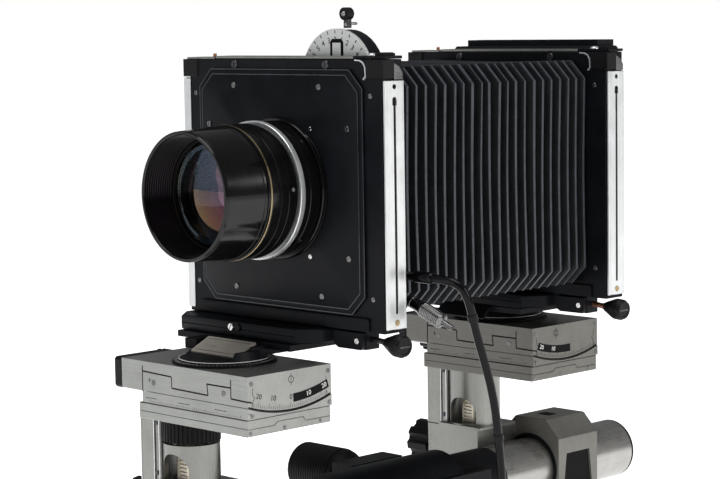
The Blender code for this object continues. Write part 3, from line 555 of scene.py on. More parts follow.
def lens():
    """Barrel, rings, hood and glass, all turned about the lens axis, with the iris inside."""
    swing = "front_swing"
    hood = [(32.4, 45.9), (38.5, 45.9), (38.8, 46.2), (38.7, 47.6), (38.4, 47.8), (38.4, 48.3), (38.65, 48.5),
            (37.9, 60), (37.3, 73.6), (37.0, 73.9), (37.0, 74.2), (37.2, 74.5), (37.2, 75.2), (36.7, 75.8),
            (35.4, 75.8), (35.1, 75.5)]
    for k in range(BAFFLE_STEPS):         # light baffle: fine steps down to the glass
        share, end = k / BAFFLE_STEPS, (k + 0.8) / BAFFLE_STEPS
        hood += [(34.9 - 2.2 * share, 75.2 - 18.0 * share), (34.8 - 2.2 * share, 75.2 - 18.0 * end),
                 (34.8 - 2.2 * end, 75.1 - 18.0 * end)]
    cell = [(30.2, 45.4), (30.2, 22.8), (15.6, 22.8), (15.6, 23.3)]
    for k in range(9):
        cell += [(16.4 + 1.3 * k, 24.0 + 1.9 * k), (17.6 + 1.3 * k, 24.2 + 1.9 * k)]
    rear_glass = [(0, -3), (12, -3.1), (20, -3.4), (25, -3.8), (27.2, -4.4), (27.2, -8), (24, -9.5), (18, -10.7),
                  (12, -11.4), (6, -11.85), (0, -12)]
    for name, body, slot, look, steps, closed, nodes, profile in (
            ("lens_flange_ring", swing, "gloss_black", None, 128, True, ["lens_flange"],
             [(32, 2.6), (41.9, 2.6), (41.9, 3.5), (41.5, 3.7), (41.5, 4.0), (41.9, 4.2), (41.7, 5.4), (41.3, 5.8),
              (32, 5.8)]),
            ("lens_rear_body", swing, "gloss_black", None, 128, True, ["lens_rear_barrel"],
             [(29.0, 18.0), (39.5, 18.0), (39.9, 17.6), (39.95, 14.4), (39.6, 14.1), (39.6, 13.7), (39.97, 13.4),
              (40.05, 8.2), (40.0, 6.5), (39.7, 6.1), (30.7, 6.1), (30.7, -12), (27.6, -12), (27.6, 0)]),
            ("aperture_band", "aperture", "bright_rail", None, 128, True, ["aperture_ring"],
             [(31, 18.3), (40.1, 18.3), (40.55, 18.6), (40.7, 18.9), (40.7, 21.6), (40.4, 22.0), (31, 22.0)]),
            ("lens_middle_body", swing, "gloss_black", None, 128, True, ["lens_middle_barrel"],
             [(30.5, 42.4), (38.8, 42.4), (39.12, 42.1), (39.22, 36.5), (38.85, 36.3), (38.85, 35.8), (39.26, 35.6),
              (39.4, 30.6), (39.2, 30.4), (39.2, 30.1), (39.42, 29.9), (39.68, 23.2), (39.4, 22.7), (30.5, 22.7)]),
            ("lens_brass_band", swing, "brass", None, 128, True, ["lens_brass_ring"],
             [(31, 42.7), (39.1, 42.7), (39.5, 42.95), (39.5, 43.6), (39.2, 43.8), (31, 43.8)]),
            ("lens_brass_backing", swing, "gloss_black", None, 128, True, [],
             [(31, 43.85), (39.2, 43.85), (39.4, 44.1), (39.4, 45.3), (39.0, 45.6), (31, 45.6)]),
            ("lens_hood_shell", swing, "gloss_black", None, 128, True, ["lens_hood"], hood + [(32.4, 56.5)]),
            ("lens_retainer", swing, "gloss_black", MATT_LINING_AND_SHADE, 128, True, [],
             [(32.3, 53.9), (32.3, 56.2), (31.8, 56.5), (31.3, 56.0), (31.2, 55.0), (31.4, 54.2)]),
            ("front_element", swing, "coated_glass", None, 96, False, ["front_glass"],
             bowed(32.1, 20, 62.0, 123.0) + [(32.1, 47.0), (29.0, 46.2)]
             + [(29.0 * (1 - i / 8), 46.2 + 1.5 * math.sin(i / 8 * math.pi / 2)) for i in range(1, 9)]),
            ("lens_cell", swing, "gloss_black", MATT_LINING_AND_SHADE, 96, True, [], cell + [(29.2, 41.0), (29.2, 45.4)]),
            ("inner_element_violet", swing, "coated_glass", VIOLET_GLASS, 72, False, [],
             bowed(24.0, 12, 42.6, 118) + [(24.0, 36.9), (12, 35.4), (0, 35.2)]),
            ("inner_ring", swing, "gloss_black", None, 72, True, [],
             [(24.1, 38.6), (25.0, 39.2), (25.4, 38.6), (24.7, 37.8)]),
            ("inner_element_amber", swing, "coated_glass", AMBER_GLASS, 64, False, [],
             bowed(13.0, 10, 44.9, 48) + [(12.6, 41.0), (0, 42.7)]),
            ("rear_element", swing, "coated_glass", VIOLET_GLASS, 72, False, ["rear_glass"], rear_glass)):
        turned(name, body, slot, profile, FORWARD, steps, look, closed, nodes)
    Detail("aperture_index", "aperture", "bright_rail").plate(
        FORWARD @ spun(136) @ Matrix.Translation((40.5, 0, 18.9)) @ spun(90, "Y"),
        [(-1.2, -1.0), (0.9, -1.0), (0.9, 1.0), (-1.2, 1.0)], -0.2, 0.9, 0.3).done()
    blades = Detail("iris_leaves", "aperture", look=DARK_STEEL)
    for k in range(10):
        leaf = arc((0, 0), 30.0, -6, 58, 8) + arc((3.5, -2.0), 17.2, 52, -14, 8)
        blades.plate(FORWARD @ spun(36 * k) @ Matrix.Translation((0, 0, 0.012 * k)), leaf, 19.80, 19.92)
    blades.done("iris_blades")
    screws = Detail("lens_set_screws", swing, "chrome")
    for degrees, height in ((128, 10.2), (4, 27.0), (250, 10.2)):
        screws.screw(FORWARD @ spun(degrees) @ Matrix.Translation((39.3, 0, height)) @ spun(90, "Y"),
                     0, 0, 1.1, 0.9, 25)
    screws.done()


# --- shutter ----------------------------------------------------------------------------------
DIAL = (30.0, 64.0)
DIAL_NUMBERS = "8 7 6 5 4 3 2 1 2 3 4 5 6 7 8 9 10 11 12 13 14 15 16 17 18 19 20 21".split()


def shutter():
    """Shutter housing, speed dial with its figures, cocking lever and side fittings."""
    swing = "front_swing"
    refined("shutter_housing", swing, "black_anodised", 0.6)
    face = plane("-Y", *at("front_", DIAL[0], 17.3, DIAL[1]))
    dial = [(0, 0), (9.8, 0), (28.8, -0.05), (29.2, -0.35), (29.2, -1.25), (28.9, -1.45), (28.9, -1.75),
            (29.2, -1.95), (29.2, -2.45), (28.8, -2.75), (0, -2.75)]
    turned("speed_dial_plate", "dial", "dial_silver", dial, face, 128, nodes=("speed_dial",))
    marks = Detail("speed_dial_marks", "dial", look=MARK_BLACK)
    for k, text in enumerate(DIAL_NUMBERS):
        spin = face @ spun(78 - 360 / len(DIAL_NUMBERS) * k)
        marks.label(spin, text, 0, 22.8, 4.6 if len(text) == 1 else 2.9, 0.08)
        marks.rect(spin, -0.28, 26.4, 0.28, 28.3, -0.2, 0.05)
    badge = [(x * 5.4, y * 6.9) for x, y in ((-1, -0.72), (-0.72, -1), (0.72, -1), (1, -0.72), (1, 0.72), (0.72, 1),
                                             (-0.72, 1), (-1, 0.72))]
    up = face @ Matrix.Translation((1.0, 16.4, 0))
    marks.plate(up, badge, -0.3, 0.2, 0.1).done()
    Detail("speed_dial_badge_lines", "dial", "dial_silver").rect(up, -3.4, -4.6, 3.4, 4.6, 0.15, 0.27).done()
    knurl = Detail("speed_dial_rim", "dial", "dial_silver")
    for k in range(90):
        knurl.rect(face @ spun(4 * k) @ Matrix.Translation((29.0, 0, 0)), -0.4, -0.3, 0.18, 0.3, -2.2, -1.7)
    knurl.done()
    index = Detail("speed_index", swing, "dial_silver", MARK_RED)
    for degrees in (128, 52):
        index.rect(plane("-Y", *at("front_", DIAL[0], 20.3, DIAL[1])) @ spun(degrees),
                   26.6, -0.5, 28.4, 0.5, -0.2, 0.08)
    index.done()
    # cocking lever: stem, round knob with a bright centre, side pin
    upright = plane("-Y", *at("front_", 34.8, 21.1, 96.0))
    Detail("cocking_lever", "lever", "black_knob", DARK_STEEL, 0.35).plate(
        upright, [(-2.0, -2.6), (2.0, -2.6), (1.8, 3.6), (-1.8, 3.6)], -3.1, 0.0).done("shutter_lever")
    turned("lever_knob", "lever", "black_knob",
           [(0, 1.9), (1.5, 1.9), (1.7, 2.1), (3.0, 2.1), (3.7, 1.5), (3.7, -3.3), (3.2, -4.0), (0, -4.0)],
           upright @ Matrix.Translation((0, 5.7, 0)), 40)
    Detail("lever_bright", "lever", "chrome").round(
        upright, 0, 5.7, [(0, 2.15), (1.3, 2.15), (1.45, 1.95), (1.45, 1.7), (0, 1.7)], 28).screw(
        upright, 0, -0.6, 1.1, 0.35, 40).round(
        plane("+Y", *at("front_", 34.8, 23.8, 96.0)), 0, 0, [(0, 0), (0.8, 0), (0.8, 6.0), (0.55, 6.4), (0, 6.4)],
        20).done()
    way = Vector((math.cos(math.radians(22)), 0, -math.sin(math.radians(22))))
    profile = [(0, 0), (1.7, 0), (1.7, 9), (3.4, 9.8), (3.6, 10.2), (3.6, 11), (3.3, 11.2), (3.3, 11.6), (3.6, 11.8),
               (3.6, 17.6), (4.4, 19.4), (4.6, 20)]
    for k in range(11):
        profile += [(radius, height + 1.25 * k) for radius, height in ((4.6, 20.6), (4.3, 20.9), (4.3, 21.3),
                                                                       (4.6, 21.6))]
    profile += [(4.6, 34.6), (4.2, 35), (1.8, 36), (1.6, 43.6), (1.3, 44), (0, 44)]
    turned("flash_plug", swing, "chrome", profile, aimed(at("front_", 73.0, 24.5, -59.5), way), 48, PLUG_METAL,
           nodes=("sync_plug",))
    side = plane("+X", *at("front_", 72.0, 24.5, -48.5))
    Detail("socket_collars", swing, look=DARK_STEEL).round(
        side, 0, 0, [(2.4, 0.0), (4.4, 0.0), (4.4, 0.9), (3.9, 1.3), (3.3, 1.3), (3.3, 0.3)], 6, True).round(
        side, 0, -11.0, [(1.9, 0.0), (4.0, 0.0), (4.0, 0.8), (3.6, 1.1), (1.9, 1.1)], 24, True).done()
    Detail("shutter_side_marks", swing, "dial_silver", MARK_RED).rect(side, -6.5, 96.0, -1.5, 97.1, 0, 0.06).round(
        side, -2.5, 65.0, [(0, 0), (0.9, 0), (0.9, 0.08), (0, 0.08)], 16).done()
    screws = Detail("shutter_side_screws", swing, look=DARK_STEEL)
    for v in (-12.0, 40.0, 108.0):
        screws.screw(side, 2.6, v, 1.3, 0.4, 30 + v)
    screws.done()


# --- standards ----------------------------------------------------------------------------------
SCALE_CENTRE = (0.0, -26.2)           # centre of the tilt arc on the block's side


def frame_pieces(p):
    """The black frame with its silver side rails, top latch, corner caps and screws."""
    swing, latch = p + "swing", p + "latch"
    front = plane("-Y", *ORIGIN[p])
    refined(p + "frame", swing, "black_anodised", 0.5)
    for side, way in (("right", 1), ("left", -1)):
        face = plane("+X" if way > 0 else "-X", *at(p, 86.2 * way, 8.2, 0))
        cut = groove().rect(face, -0.95, -68.2, 0.95, 54.0, -0.9, 1.0).plate(
            face, [(-1.7, 50.0), (1.7, 50.0), (1.7, 53.6), (0.8, 54.8), (-0.8, 54.8), (-1.7, 53.6)],
            -0.95, 1.0).round(
            face, 0, 60.5, [(0, -0.9), (1.5, -0.9), (1.5, 1.0), (0, 1.0)], 24)
        for u in (-6.2, 6.2):
            cut.rect(face, u - 0.2, -90, u + 0.2, 70, -0.25, 1.0)
        refined(p + "side_rail_" + side, swing, "bright_rail", 0.3, cuts=(cut,))
        Detail(p + "rail_inlay_" + side, swing, look=MATT_LINING_AND_SHADE).rect(
            face, -1.6, -68.1, 1.6, 54.4, -1.1, -0.6).round(
            face, 0, 60.5, [(0, -1.1), (1.45, -1.1), (1.45, -0.8), (0, -0.8)], 24).done()
        Detail(p + "rail_stud_" + side, swing, "brass").screw(face, 0, -73.3, 1.9, 0.4, 35, -0.1).done()
        Detail(p + "corner_wedge_" + side, swing, "cast_grey", SCREW_GREY, 0.3).plate(
            face, [(0.6, 64.4), (7.6, 64.4), (7.4, 68.0), (5.0, 71.6), (0.6, 73.8)], -2.4, -0.5).done()
        outline = [(86.1, -0.5), (86.1, 8.4), (84.5, 8.4), (84.5, 0.2), (72.2, 0.2), (73.0, -0.9), (85.6, -0.9)]
        Detail(p + "corner_cap_" + side, swing, "black_knob", None, 0.5).plate(
            plane("+Z", *ORIGIN[p]), [(u * way, v) for u, v in outline], 65.2, 75.7).done()
    Detail(p + "left_rail_lip", swing, "bright_rail", None, 0.2).rect(
        front, -85.9, -77.0, -79.8, 64.0, 0.05, 0.5).rect(front, -85.9, 64.4, -79.8, 75.6, 0.05, 0.5).done()
    Detail(p + "corner_trim", swing, "bright_rail").stroke(
        front, [(63.6, 75.4), (67.5, 75.2), (70.2, 74.0), (71.8, 71.4), (72.2, 66.4), (70.3, 64.4)], 0.7, 0.0,
        0.9).done()
    # top: bright latch strip with a thin black end, fixed strip beside it
    top = plane("+Z", *at(p, 0, 0, 76.1))
    Detail(p + "latch_strip", latch, "satin_aluminium", None, 0.25).rect(
        top, -57.9, 1.3, 60.4, 15.1, 0, 1.5).done(p + "top_latch")
    Detail(p + "latch_tongue", latch, bevel=0.25).rect(top, 60.7, 1.2, 85.9, 15.2, 0, 1.7).done()
    Detail(p + "latch_dome", latch, "bright_rail").round(
        plane("+Z", *at(p, 68.9, 8, 77.7)), 0, 0,
        [(0, 1.7), (1.2, 1.6), (2.2, 1.2), (2.8, 0.5), (2.9, 0), (0, 0)], 32).done()
    top = plane("+Z", *at(p, 79.4, 8, 77.7))
    thumb = Detail(p + "latch_thumb", latch, "black_knob", None, 0.3).rect(top, -3.6, -4.6, 3.6, 4.6, 0, 1.7, 0.5)
    for k in range(5):
        thumb.rect(top, -3.0, -3.4 + 1.6 * k, 3.0, -2.9 + 1.6 * k, 1.6, 1.95)
    thumb.done()
    Detail(p + "top_strip", swing, "satin_aluminium", None, 0.2).rect(
        plane("+Z", *at(p, 0, 0, 75.8)), -83.6, 0.6, -58.4, 15.8, 0.02, 1.1).done()
    Detail(p + "top_pin", swing, "champagne", COPPER).round(
        plane("+Z", *at(p, -66.0, 8.0, 76.8)), 0, 0, [(0, 2.3), (0.8, 2.2), (1.1, 1.8), (1.1, 0), (0, 0)], 20).done()
    # frame screws, board catches, lower channel and lock lever
    Detail(p + "frame_screws", swing, look=SCREW_GREY).screws(
        front, [(75.1, 55.2), (75.4, -60.2), (-75.1, 55.2), (-75.4, -60.2)], 1.5, 0.45, 15, 40).round(
        front, 43.1, -75.4, [(0, 0.6), (0.9, 0.5), (1.2, 0), (0, 0)], 16).done()
    Detail(p + "board_catches", swing, look=DARK_STEEL).screws(
        front, [(-39.1, 72.6), (39.2, 72.6)], 2.7, 0.7, 80).done()
    Detail(p + "lower_ledge", swing, bevel=0.3).rect(front, -72.6, -79.0, 72.6, -72.4, 0.0, 1.3).rect(
        front, -72.6, -72.4, 72.6, -71.4, 0.0, 2.6).done()
    Detail(p + "lock_lever", swing, bevel=0.5).plate(
        front, [(42.4, -88.2), (46, -90.3), (64.6, -90.3), (65.8, -88.6), (65.8, -80.2), (42.4, -80.2)], -2.8,
        0.2).done()
    Detail(p + "lock_pin", swing, "chrome").screw(plane("-Y", *at(p, 61.6, -0.2, -85.2)), 0, 0, 1.7, 0.5, 50).done()
    # clamping screw with a slotted conical grip
    droop = math.radians(5)
    base = aimed(at(p, 66.0, 8.5, -84.6), (math.cos(droop), 0, -math.sin(droop)))
    turned(p + "lock_rod", p + "lock", "champagne",
           [(0, 0.6), (1.7, 0.6), (1.7, 9.0), (2.1, 9.2), (2.1, 10.4), (1.7, 10.6), (0, 10.8)], base, 28,
           COPPER if p == "rear_" else DARK_STEEL)
    Detail(p + "lock_grip", p + "lock", "black_knob").round(
        base, 0, 0, [(0, 10.2), (2.0, 10.2), (3.1, 11.4), (6.2, 18.4), (6.6, 19.6), (6.6, 23.8), (6.3, 24.6),
                     (5.9, 25.2), (5.6, 26), (4.6, 26), (4.2, 25.6), (0, 25.6)], 48).done(p + "frame_lock")
    flutes = Detail(p + "lock_flutes", p + "lock", "black_knob", DARK_STEEL)
    for k in range(12):
        flutes.rect(base @ spun(30 * k), 6.1, -0.28, 6.58, 0.28, 20.0, 24.2)
    flutes.rect(base, -4.0, -0.45, 4.0, 0.45, 25.5, 25.8).done()


def turret_pieces(p):
    """Carrier bar, turret, sloping plate and degree disc between the frame and the drive block."""
    swing, tilt = p + "swing", p + "tilt"
    bar_face, top = plane("-Y", *at(p, 0, -17.5, 0)), plane("+Z", *at(p, -16, BLOCK_Y[p], 0))
    refined(p + "carrier_bar", swing, "black_anodised", 0.5,
            cuts=(groove().rect(bar_face, -90, -84.3, 45, -83.9, -0.5, 1),))
    front_y, back_y = (-25.0, -41.5) if p == "front_" else (-19.0, -27.0)
    dip = groove().place(
        Matrix.Translation(ORIGIN[p]),
        [(x, y, z) for x in (-41.5, 6.0) for y, z in ((front_y + 1.2, -86.0), (front_y + 1.2, -90.6),
                                                      (back_y - 1.0, -97.6), (-75.0, -97.6), (-75.0, -86.0))],
        [(0, 1, 2, 3, 4), (9, 8, 7, 6, 5)] + [(i, (i + 1) % 5, (i + 1) % 5 + 5, i + 5) for i in range(5)])
    refined(p + "turret", swing, "black_anodised", 0.5, cuts=(dip,))
    Detail(p + "bar_studs", swing, "chrome").screw(bar_face, -27.4, -83.0, 2.3, 0.8, 60).done()
    Detail(p + "bar_knob", swing, "black_knob").round(
        bar_face, -21.2, -83.0, [(0, 1.0), (2.0, 1.0), (2.4, 0.6), (2.4, 0), (0, 0)], 28).done()
    Detail(p + "turret_edge", swing, "dial_silver", MARK_WHITE).round(
        top, 0, 0, [(26.85, -97.9), (27.15, -97.9), (27.15, -97.5), (26.85, -97.5)], 96, True).done()
    # sloping plate: no lettering, a plain bevelled field with two fine lines
    a, b = Vector((-18.0, front_y, -89.2)), Vector((-18.0, back_y + 1.5, -96.3))
    way, reach = (b - a).normalized(), -(b - a).length
    slope = Matrix((X, -way, X.cross(-way))).transposed().to_4x4()
    slope.translation = ORIGIN[p] + a
    finish_of = ("champagne", PLATE_METAL) if p == "front_" else ("black_anodised", None)
    Detail(p + "sloping_plate", swing, *finish_of, 0.25).plate(
        slope, [(-21, 0), (-21, reach * 0.94), (-20, reach), (20, reach), (21, reach * 0.94), (21, 0)], -0.9,
        0.7).done()
    fine = Detail(p + "plate_lines", swing, look=MARK_BLACK)
    for share in (0.14, 0.86):
        fine.rect(slope, -18.4, reach * share - 0.14, 18.4, reach * share + 0.14, 0.68, 0.76)
    fine.done()
    turned(p + "degree_plate", tilt, "black_anodised",
           [(0, -99.9), (30.9, -99.9), (31.0, -99.7), (30.9, -99.2), (30.3, -98.75), (0, -98.7)], top, 128,
           nodes=(p + "degree_disc",))
    ticks = Detail(p + "degree_ticks", tilt, "dial_silver", MARK_WHITE)
    for k in range(72):
        ticks.rect(top @ spun(5 * k), 27.9 if k % 2 else 27.4, -0.11, 29.9, 0.11, -98.75, -98.66)
    ticks.done()


def block_pieces(p):
    """Tilt block on its arc, the cradle of the cross slide, and the base plate."""
    tilt, cross, riser, by = p + "tilt", p + "cross", p + "riser", BLOCK_Y[p]
    # the rear block, cradle and base plate take the darker copy as painted shade
    look = None if p == "front_" else SHADED_CASTING
    front = plane("-Y", *at(p, 0, by - 32.7, 0))
    side, side_low, base_side = (plane("+X", *at(p, x, by, 0)) for x in (40.0, 40.4, 39.4))
    # joints of the block's front face, and the V guides near both ends of its side
    joints, cut = Detail(p + "block_joints", tilt, look=MATT_LINING_AND_SHADE), groove()
    for line in ([(-52.6, -103.0), (-52.8, -126)], [(-52.2, -106.2), (-26.3, -107.0)],
                 [(-25.8, -113.6), (6.2, -114.2)], [(5.2, -107.7), (25.9, -107.7)],
                 [(26.0, -103.0), (26.0, -113.9)], [(26.0, -113.9), (43, -114.4)],
                 [(-26.0, -107.0), (-25.8, -113.6)], [(5.4, -107.7), (6.2, -114.2)]):
        cut.stroke(front, line, 0.8, -0.6, 1.0)
        joints.stroke(front, line, 0.7, -0.9, -0.25)
    joints.done()
    for u in (-28.6, 28.6):
        notch = u + (1.6 if u < 0 else -1.6)
        cut.stroke(side, [(u, -122.0), (u, -114.5), (notch, -112.6), (u, -110.8), (u, -107.0)], 0.4, -0.5, 1.0)
    refined(p + "tilt_block", tilt, "satin_aluminium", 0.35, look, cuts=(cut,))
    lower = groove()
    for way in (-1, 1):
        lower.stroke(side_low, [(33 * way, -121.0), (31.0 * way, -121.0), (30.2 * way, -124)], 0.4, -0.6, 1.0)
    for u in (-50.0, -20.0, 12.0):
        lower.rect(front, u, -121.8, u + 10.0, -121.4, -0.6, 1.0)
    refined(p + "cradle", cross, "satin_aluminium", 0.3, look, cuts=(lower,))
    base_cut = groove().stroke(base_side, [(-32, -130.3), (-11.5, -130.3), (-9.5, -128.4), (10.5, -128.4),
                                           (12.5, -130.9), (34, -130.9)], 0.5, -0.7, 1.0)
    base_cut.rect(front, -58, -130.2, 41, -129.7, -0.6, 1.0)
    refined(p + "base_plate", riser, "satin_aluminium", 0.5, look, cuts=(base_cut,))
    Detail(p + "block_screws", tilt, "satin_aluminium", SCREW_GREY).screws(
        front, [(-42.6, -112.3), (19.7, -111.6)], 1.7, 0.35, 30, 60, -0.05).screws(
        side, [(-29.6, -104.4), (30.2, -104.1)], 1.4, 0.35, 0, 70, -0.05).done()
    Detail(p + "cradle_screws", cross, "satin_aluminium", SCREW_GREY).screws(
        side_low, [(-29.4, -122.6), (30.4, -122.6)], 1.2, 0.35, 0, 50, -0.05).done()
    Detail(p + "base_screws", riser, "satin_aluminium", SCREW_GREY).screws(
        base_side, [(-30.0, -132.6), (-4.0, -132.6), (24.0, -132.6)], 1.2, 0.35, 0, 45, -0.05).done()
    # tilt scale: thin arc with degree ticks, and the black band with its white figures

    def on_arc(radius, degrees):
        return arc(SCALE_CENTRE, radius, 270 + degrees, 270 + degrees, 1)[0]

    ink = Detail(p + "tilt_scale", tilt, look=MARK_BLACK)
    ink.stroke(side, arc(SCALE_CENTRE, 96.7, 270 - 19.3, 270 + 19.3, 40), 0.9, 0, 0.12)
    for k in range(-18, 19):
        ink.stroke(side, [on_arc(95.6 - (1.7 if k % 5 else 3.0), k), on_arc(95.6, k)], 0.16, 0, 0.08)
    for text, degrees in (("20", -15.6), ("10", -8.4), ("0", 0.4)):
        ink.label(side, text, *on_arc(89.4, degrees), 4.4, 0.08, degrees)
    start, end = (1.6, 19.4) if p == "front_" else (-17.6, 3.0)
    outer, inner = (arc(SCALE_CENTRE, radius, 270 + start, 270 + end, 24) for radius in (92.6, 87.7))
    for a, b, c, d in zip(outer, outer[1:], inner[1:], inner):
        ink.plate(side, [a, b, c, d], 0.0, 0.14)
    u, v, radius = 0.9 if p == "front_" else -9.6, -105.4, 2.1      # level symbol: a circle with a line through
    ink.round(side, u, v, [(radius - 0.3, 0), (radius - 0.3, 0.08), (radius, 0.08), (radius, 0)], 32, True)
    ink.rect(side, u - 0.14, v - radius - 1.3, u + 0.14, v + radius + 1.3, 0, 0.08)
    ink.stroke(front, [(-47.4, -111.0), (-44.6, -111.0)], 0.3, 0, 0.08)
    ink.stroke(front, [(-46.0, -112.4), (-46.0, -109.6)], 0.3, 0, 0.08).done()
    white = Detail(p + "tilt_band_marks", tilt, "dial_silver", MARK_WHITE)
    for text, degrees in (("10", 9.2), ("20", 17.3)) if p == "front_" else (("20", -15.4), ("10", -8.0)):
        white.label(side, text, *on_arc(90.1, degrees), 4.0, 0.2, degrees)
    white.done()
    rule = Detail(p + "shift_scale", cross, look=MARK_BLACK)
    for k in range(41):
        u = -46.0 + 2.0 * k
        rule.rect(front, u - 0.1, -124.1, u + 0.1, -123.2 if k % 5 else -122.5, 0, 0.07)
    rule.done()
    # drive head on the left: rubber cap and serrated wheel
    refined(p + "tilt_cap", tilt, "black_knob", 0.9, segments=3)
    refined(p + "tilt_knob", p + "tilt_knob_body", "black_knob", 0.5)
    Detail(p + "tilt_knob_hub", p + "tilt_knob_body", "satin_aluminium").round(
        plane("-X", *at(p, -91.7, by + 13.0, -117.5)), 0, 0,
        [(0, 0.2), (5.6, 0.2), (6.6, -0.3), (7.2, -1.2), (0, -1.2)], 48).done()


def column_pieces(p):
    """Fixed column with its window, the rack inside it, focus knob and bearer casting."""
    carriage, riser, knob, cy = p + "carriage", p + "riser", p + "focus_knob_body", COLUMN_Y[p]
    refined(p + "column", carriage, "satin_aluminium", 0.4, UPRIGHT_METAL)
    Detail(p + "column_foot", carriage, "satin_aluminium", UPRIGHT_METAL, 0.3).rect(
        plane("+Z", *at(p, -43.0, cy, -177.6)), -17.8, -17.6, 20.0, 19.0, 0.1, 2.2).done()
    teeth, face = groove(), plane("-Y", *at(p, -43.0, cy - 7.5, 0))
    for k in range(32):
        teeth.rect(face, -3.4, -210.5 + 2.3 * k, 3.4, -209.4 + 2.3 * k, -1.0, 1.0)
    refined(p + "rack", riser, "champagne", 0.3, cuts=(teeth,))
    Detail(p + "window_screw", riser, look=DARK_STEEL).screw(face, 0, -199.0, 2.1, 0.7, 15, -1.6).done()
    # bright strips along the column's face edges: painted highlights
    edge, bar = Detail(p + "column_edge_highlights", carriage, "bright_rail"), plane("-Y", *at(p, 0, cy - 13.0, 0))
    for u in (-75.1, -63.0, -58.0):
        edge.rect(bar, u, -177.0, u + 0.7, -135.4, -0.05, 0.22)
    edge.done()
    screws = Detail(p + "column_screws", carriage, "satin_aluminium", DARK_STEEL)
    for v in (-140.5, -171.0):
        screws.screw(bar, -60.4, v, 1.4, 0.35, v)
    screws.done()
    if p == "front_":
        refined("front_lift_collar", "front_riser", "black_knob", 0.25)
    # focus knob: eight lobes, and a dark ring sunk in its face
    centre = plane("-X", -79.3, ORIGIN[p].y + cy, 55.0)
    sunk = groove().round(centre, 0, 0, [(7.4, -0.7), (8.9, -0.7), (8.9, 1.0), (7.4, 1.0)], 48, True)
    refined(p + "focus_knob", knob, "black_knob", 0.9, cuts=(sunk,), segments=3)
    Detail(p + "focus_knob_dish", knob, look=DARK_STEEL).round(
        centre, 0, 0, [(7.5, -0.9), (7.5, -0.5), (8.0, -0.3), (8.4, -0.3), (8.8, -0.5), (8.8, -0.9)], 48, True).done()
    # bearer: its grey casting, the bright saddle and column seat, the recesses in its flanks, and near-black sheets
    # as painted shade in a recess and the top window
    flank, far_flank = (plane(face, x, ORIGIN[p].y + cy + 45.5, RAIL_Z) for face, x in (("+X", 25.0), ("-X", -25.0)))
    recess = groove().plate(flank, [(-15, -13), (15, -13), (12, 11), (-12, 11)], -1.6, 1.0)
    recess.rect(far_flank, -13, -12, 13, 12, -1.2, 1.0)
    casting = refined(p + "bearer", carriage, "cast_grey", 0.9, cuts=(recess,), segments=3)
    casting.data.materials.append(UPRIGHT_METAL)
    for face in casting.data.polygons:
        if face.center.x < -0.026 or face.center.y < (ORIGIN[p].y + cy + 24.9) * MM:
            face.material_index = 1
    # near-black sheets in the flank recess and in the window on top: painted shade
    Detail(p + "bearer_recess_shade", carriage, look=MATT_LINING_AND_SHADE).plate(
        flank, [(-14.6, -12.7), (14.6, -12.7), (11.7, 10.7), (-11.7, 10.7)], -1.7, -1.25).rect(
        plane("+Z", 0, ORIGIN[p].y + cy + 45.5, 76.0 if p == "rear_" else 65.6), -5.0, -7.0, 5.0, 1.0, -0.3,
        0.25).done()
    bolts = Detail(p + "bearer_bolts", carriage, "chrome")
    for u in (-17.0, 17.0):
        bolts.round(flank, u, -18.0, [(0, 0.35), (1.2, 0.35), (1.2, 0.9), (2.3, 0.9), (2.6, 0.6), (2.6, 0),
                                      (0, 0)], 28)
    bolts.done()
    bush = Detail(p + "bearer_bush", carriage)
    for face, y in (("-Y", cy + 25.0), ("+Y", cy + 66.0)):
        bush.round(plane(face, 0, ORIGIN[p].y + y, RAIL_Z), 0, 0,
                   [(20.45, -0.8), (20.45, 0.25), (22.6, 0.25), (23.2, 0.0), (23.2, -0.8)], 72, True)
    bush.done()


def rail_pieces():
    """The tube with its caps and its black sleeve, and the tripod clamp."""
    refined("rail_tube", "root", "bright_rail", 0.0, RAIL_METAL)
    for name in ("rail_cap_front", "rail_cap_rear"):
        refined(name, "root", "black_knob", 0.4)
    turned("rail_sleeve", "root", "black_anodised",
           [(20.02, 47.0), (20.06, 47.0), (20.1, 47.3), (20.1, 98.7), (20.06, 99.0), (20.02, 99.0)],
           plane("+Y", 0, 0, RAIL_Z), closed=True)
    marks = Detail("rail_scale", "root", look=MARK_BLACK)
    for k in range(-20, 21):
        y, half = 5.0 * k + (4.0 if k > 0 else -4.0), 1.6 if k % 2 else 2.6
        if abs(y) > 47 and not 46 < y < 100:
            marks.rect(plane("+Z", 0, y, RAIL_Z + 20.0), -half, -0.14, half, 0.14, -0.15, 0.05)
    marks.done()
    cut = groove()
    for face, x in (("+X", 29.0), ("-X", -29.0)):
        cut.rect(plane(face, x, 4.0, 12.0), -42, -1.5, 42, 1.5, -1.2, 1.0)
    refined("clamp_body", "root", "black_anodised", 0.9, cuts=(cut,), segments=3)
    bolts, cheek = Detail("clamp_bolts", "root", "chrome"), plane("+X", 26.0, 47.0, 42.0)
    for u in (-20.0, 20.0):
        bolts.round(cheek, u, 0, [(0, 0.4), (1.6, 0.4), (1.6, 1.2), (3.0, 1.2), (3.4, 0.8), (3.4, 0), (0, 0)], 36)
    bolts.done()
    Detail("clamp_tag", "root", "black_anodised", EDGE_BLACK, 0.2).rect(
        cheek, -12.0, -6.0, 12.0, 6.0, -0.1, 0.35).done()
    grip = [(0, 28.3), (8, 28.3), (8.6, 31), (12.4, 33.8), (15.4, 36.2), (15.8, 37.4), (15.8, 39.6), (16.2, 40)]
    for k in range(15):
        h = 40.4 + 2.2 * k
        grip += [(16.5, h), (16.5, h + 1.5), (16.2, h + 1.7), (16.2, h + 2.0)]
    grip += [(16.5, 73.6), (16.4, 74.4), (15.6, 75.6), (14, 76), (9.0, 75.9), (8.6, 75.5), (0, 75.5)]
    turned("clamp_grip", "clamp_knob_body", "black_knob", grip, plane("-X", 0, 5, 54.0), 72, nodes=("clamp_knob",))


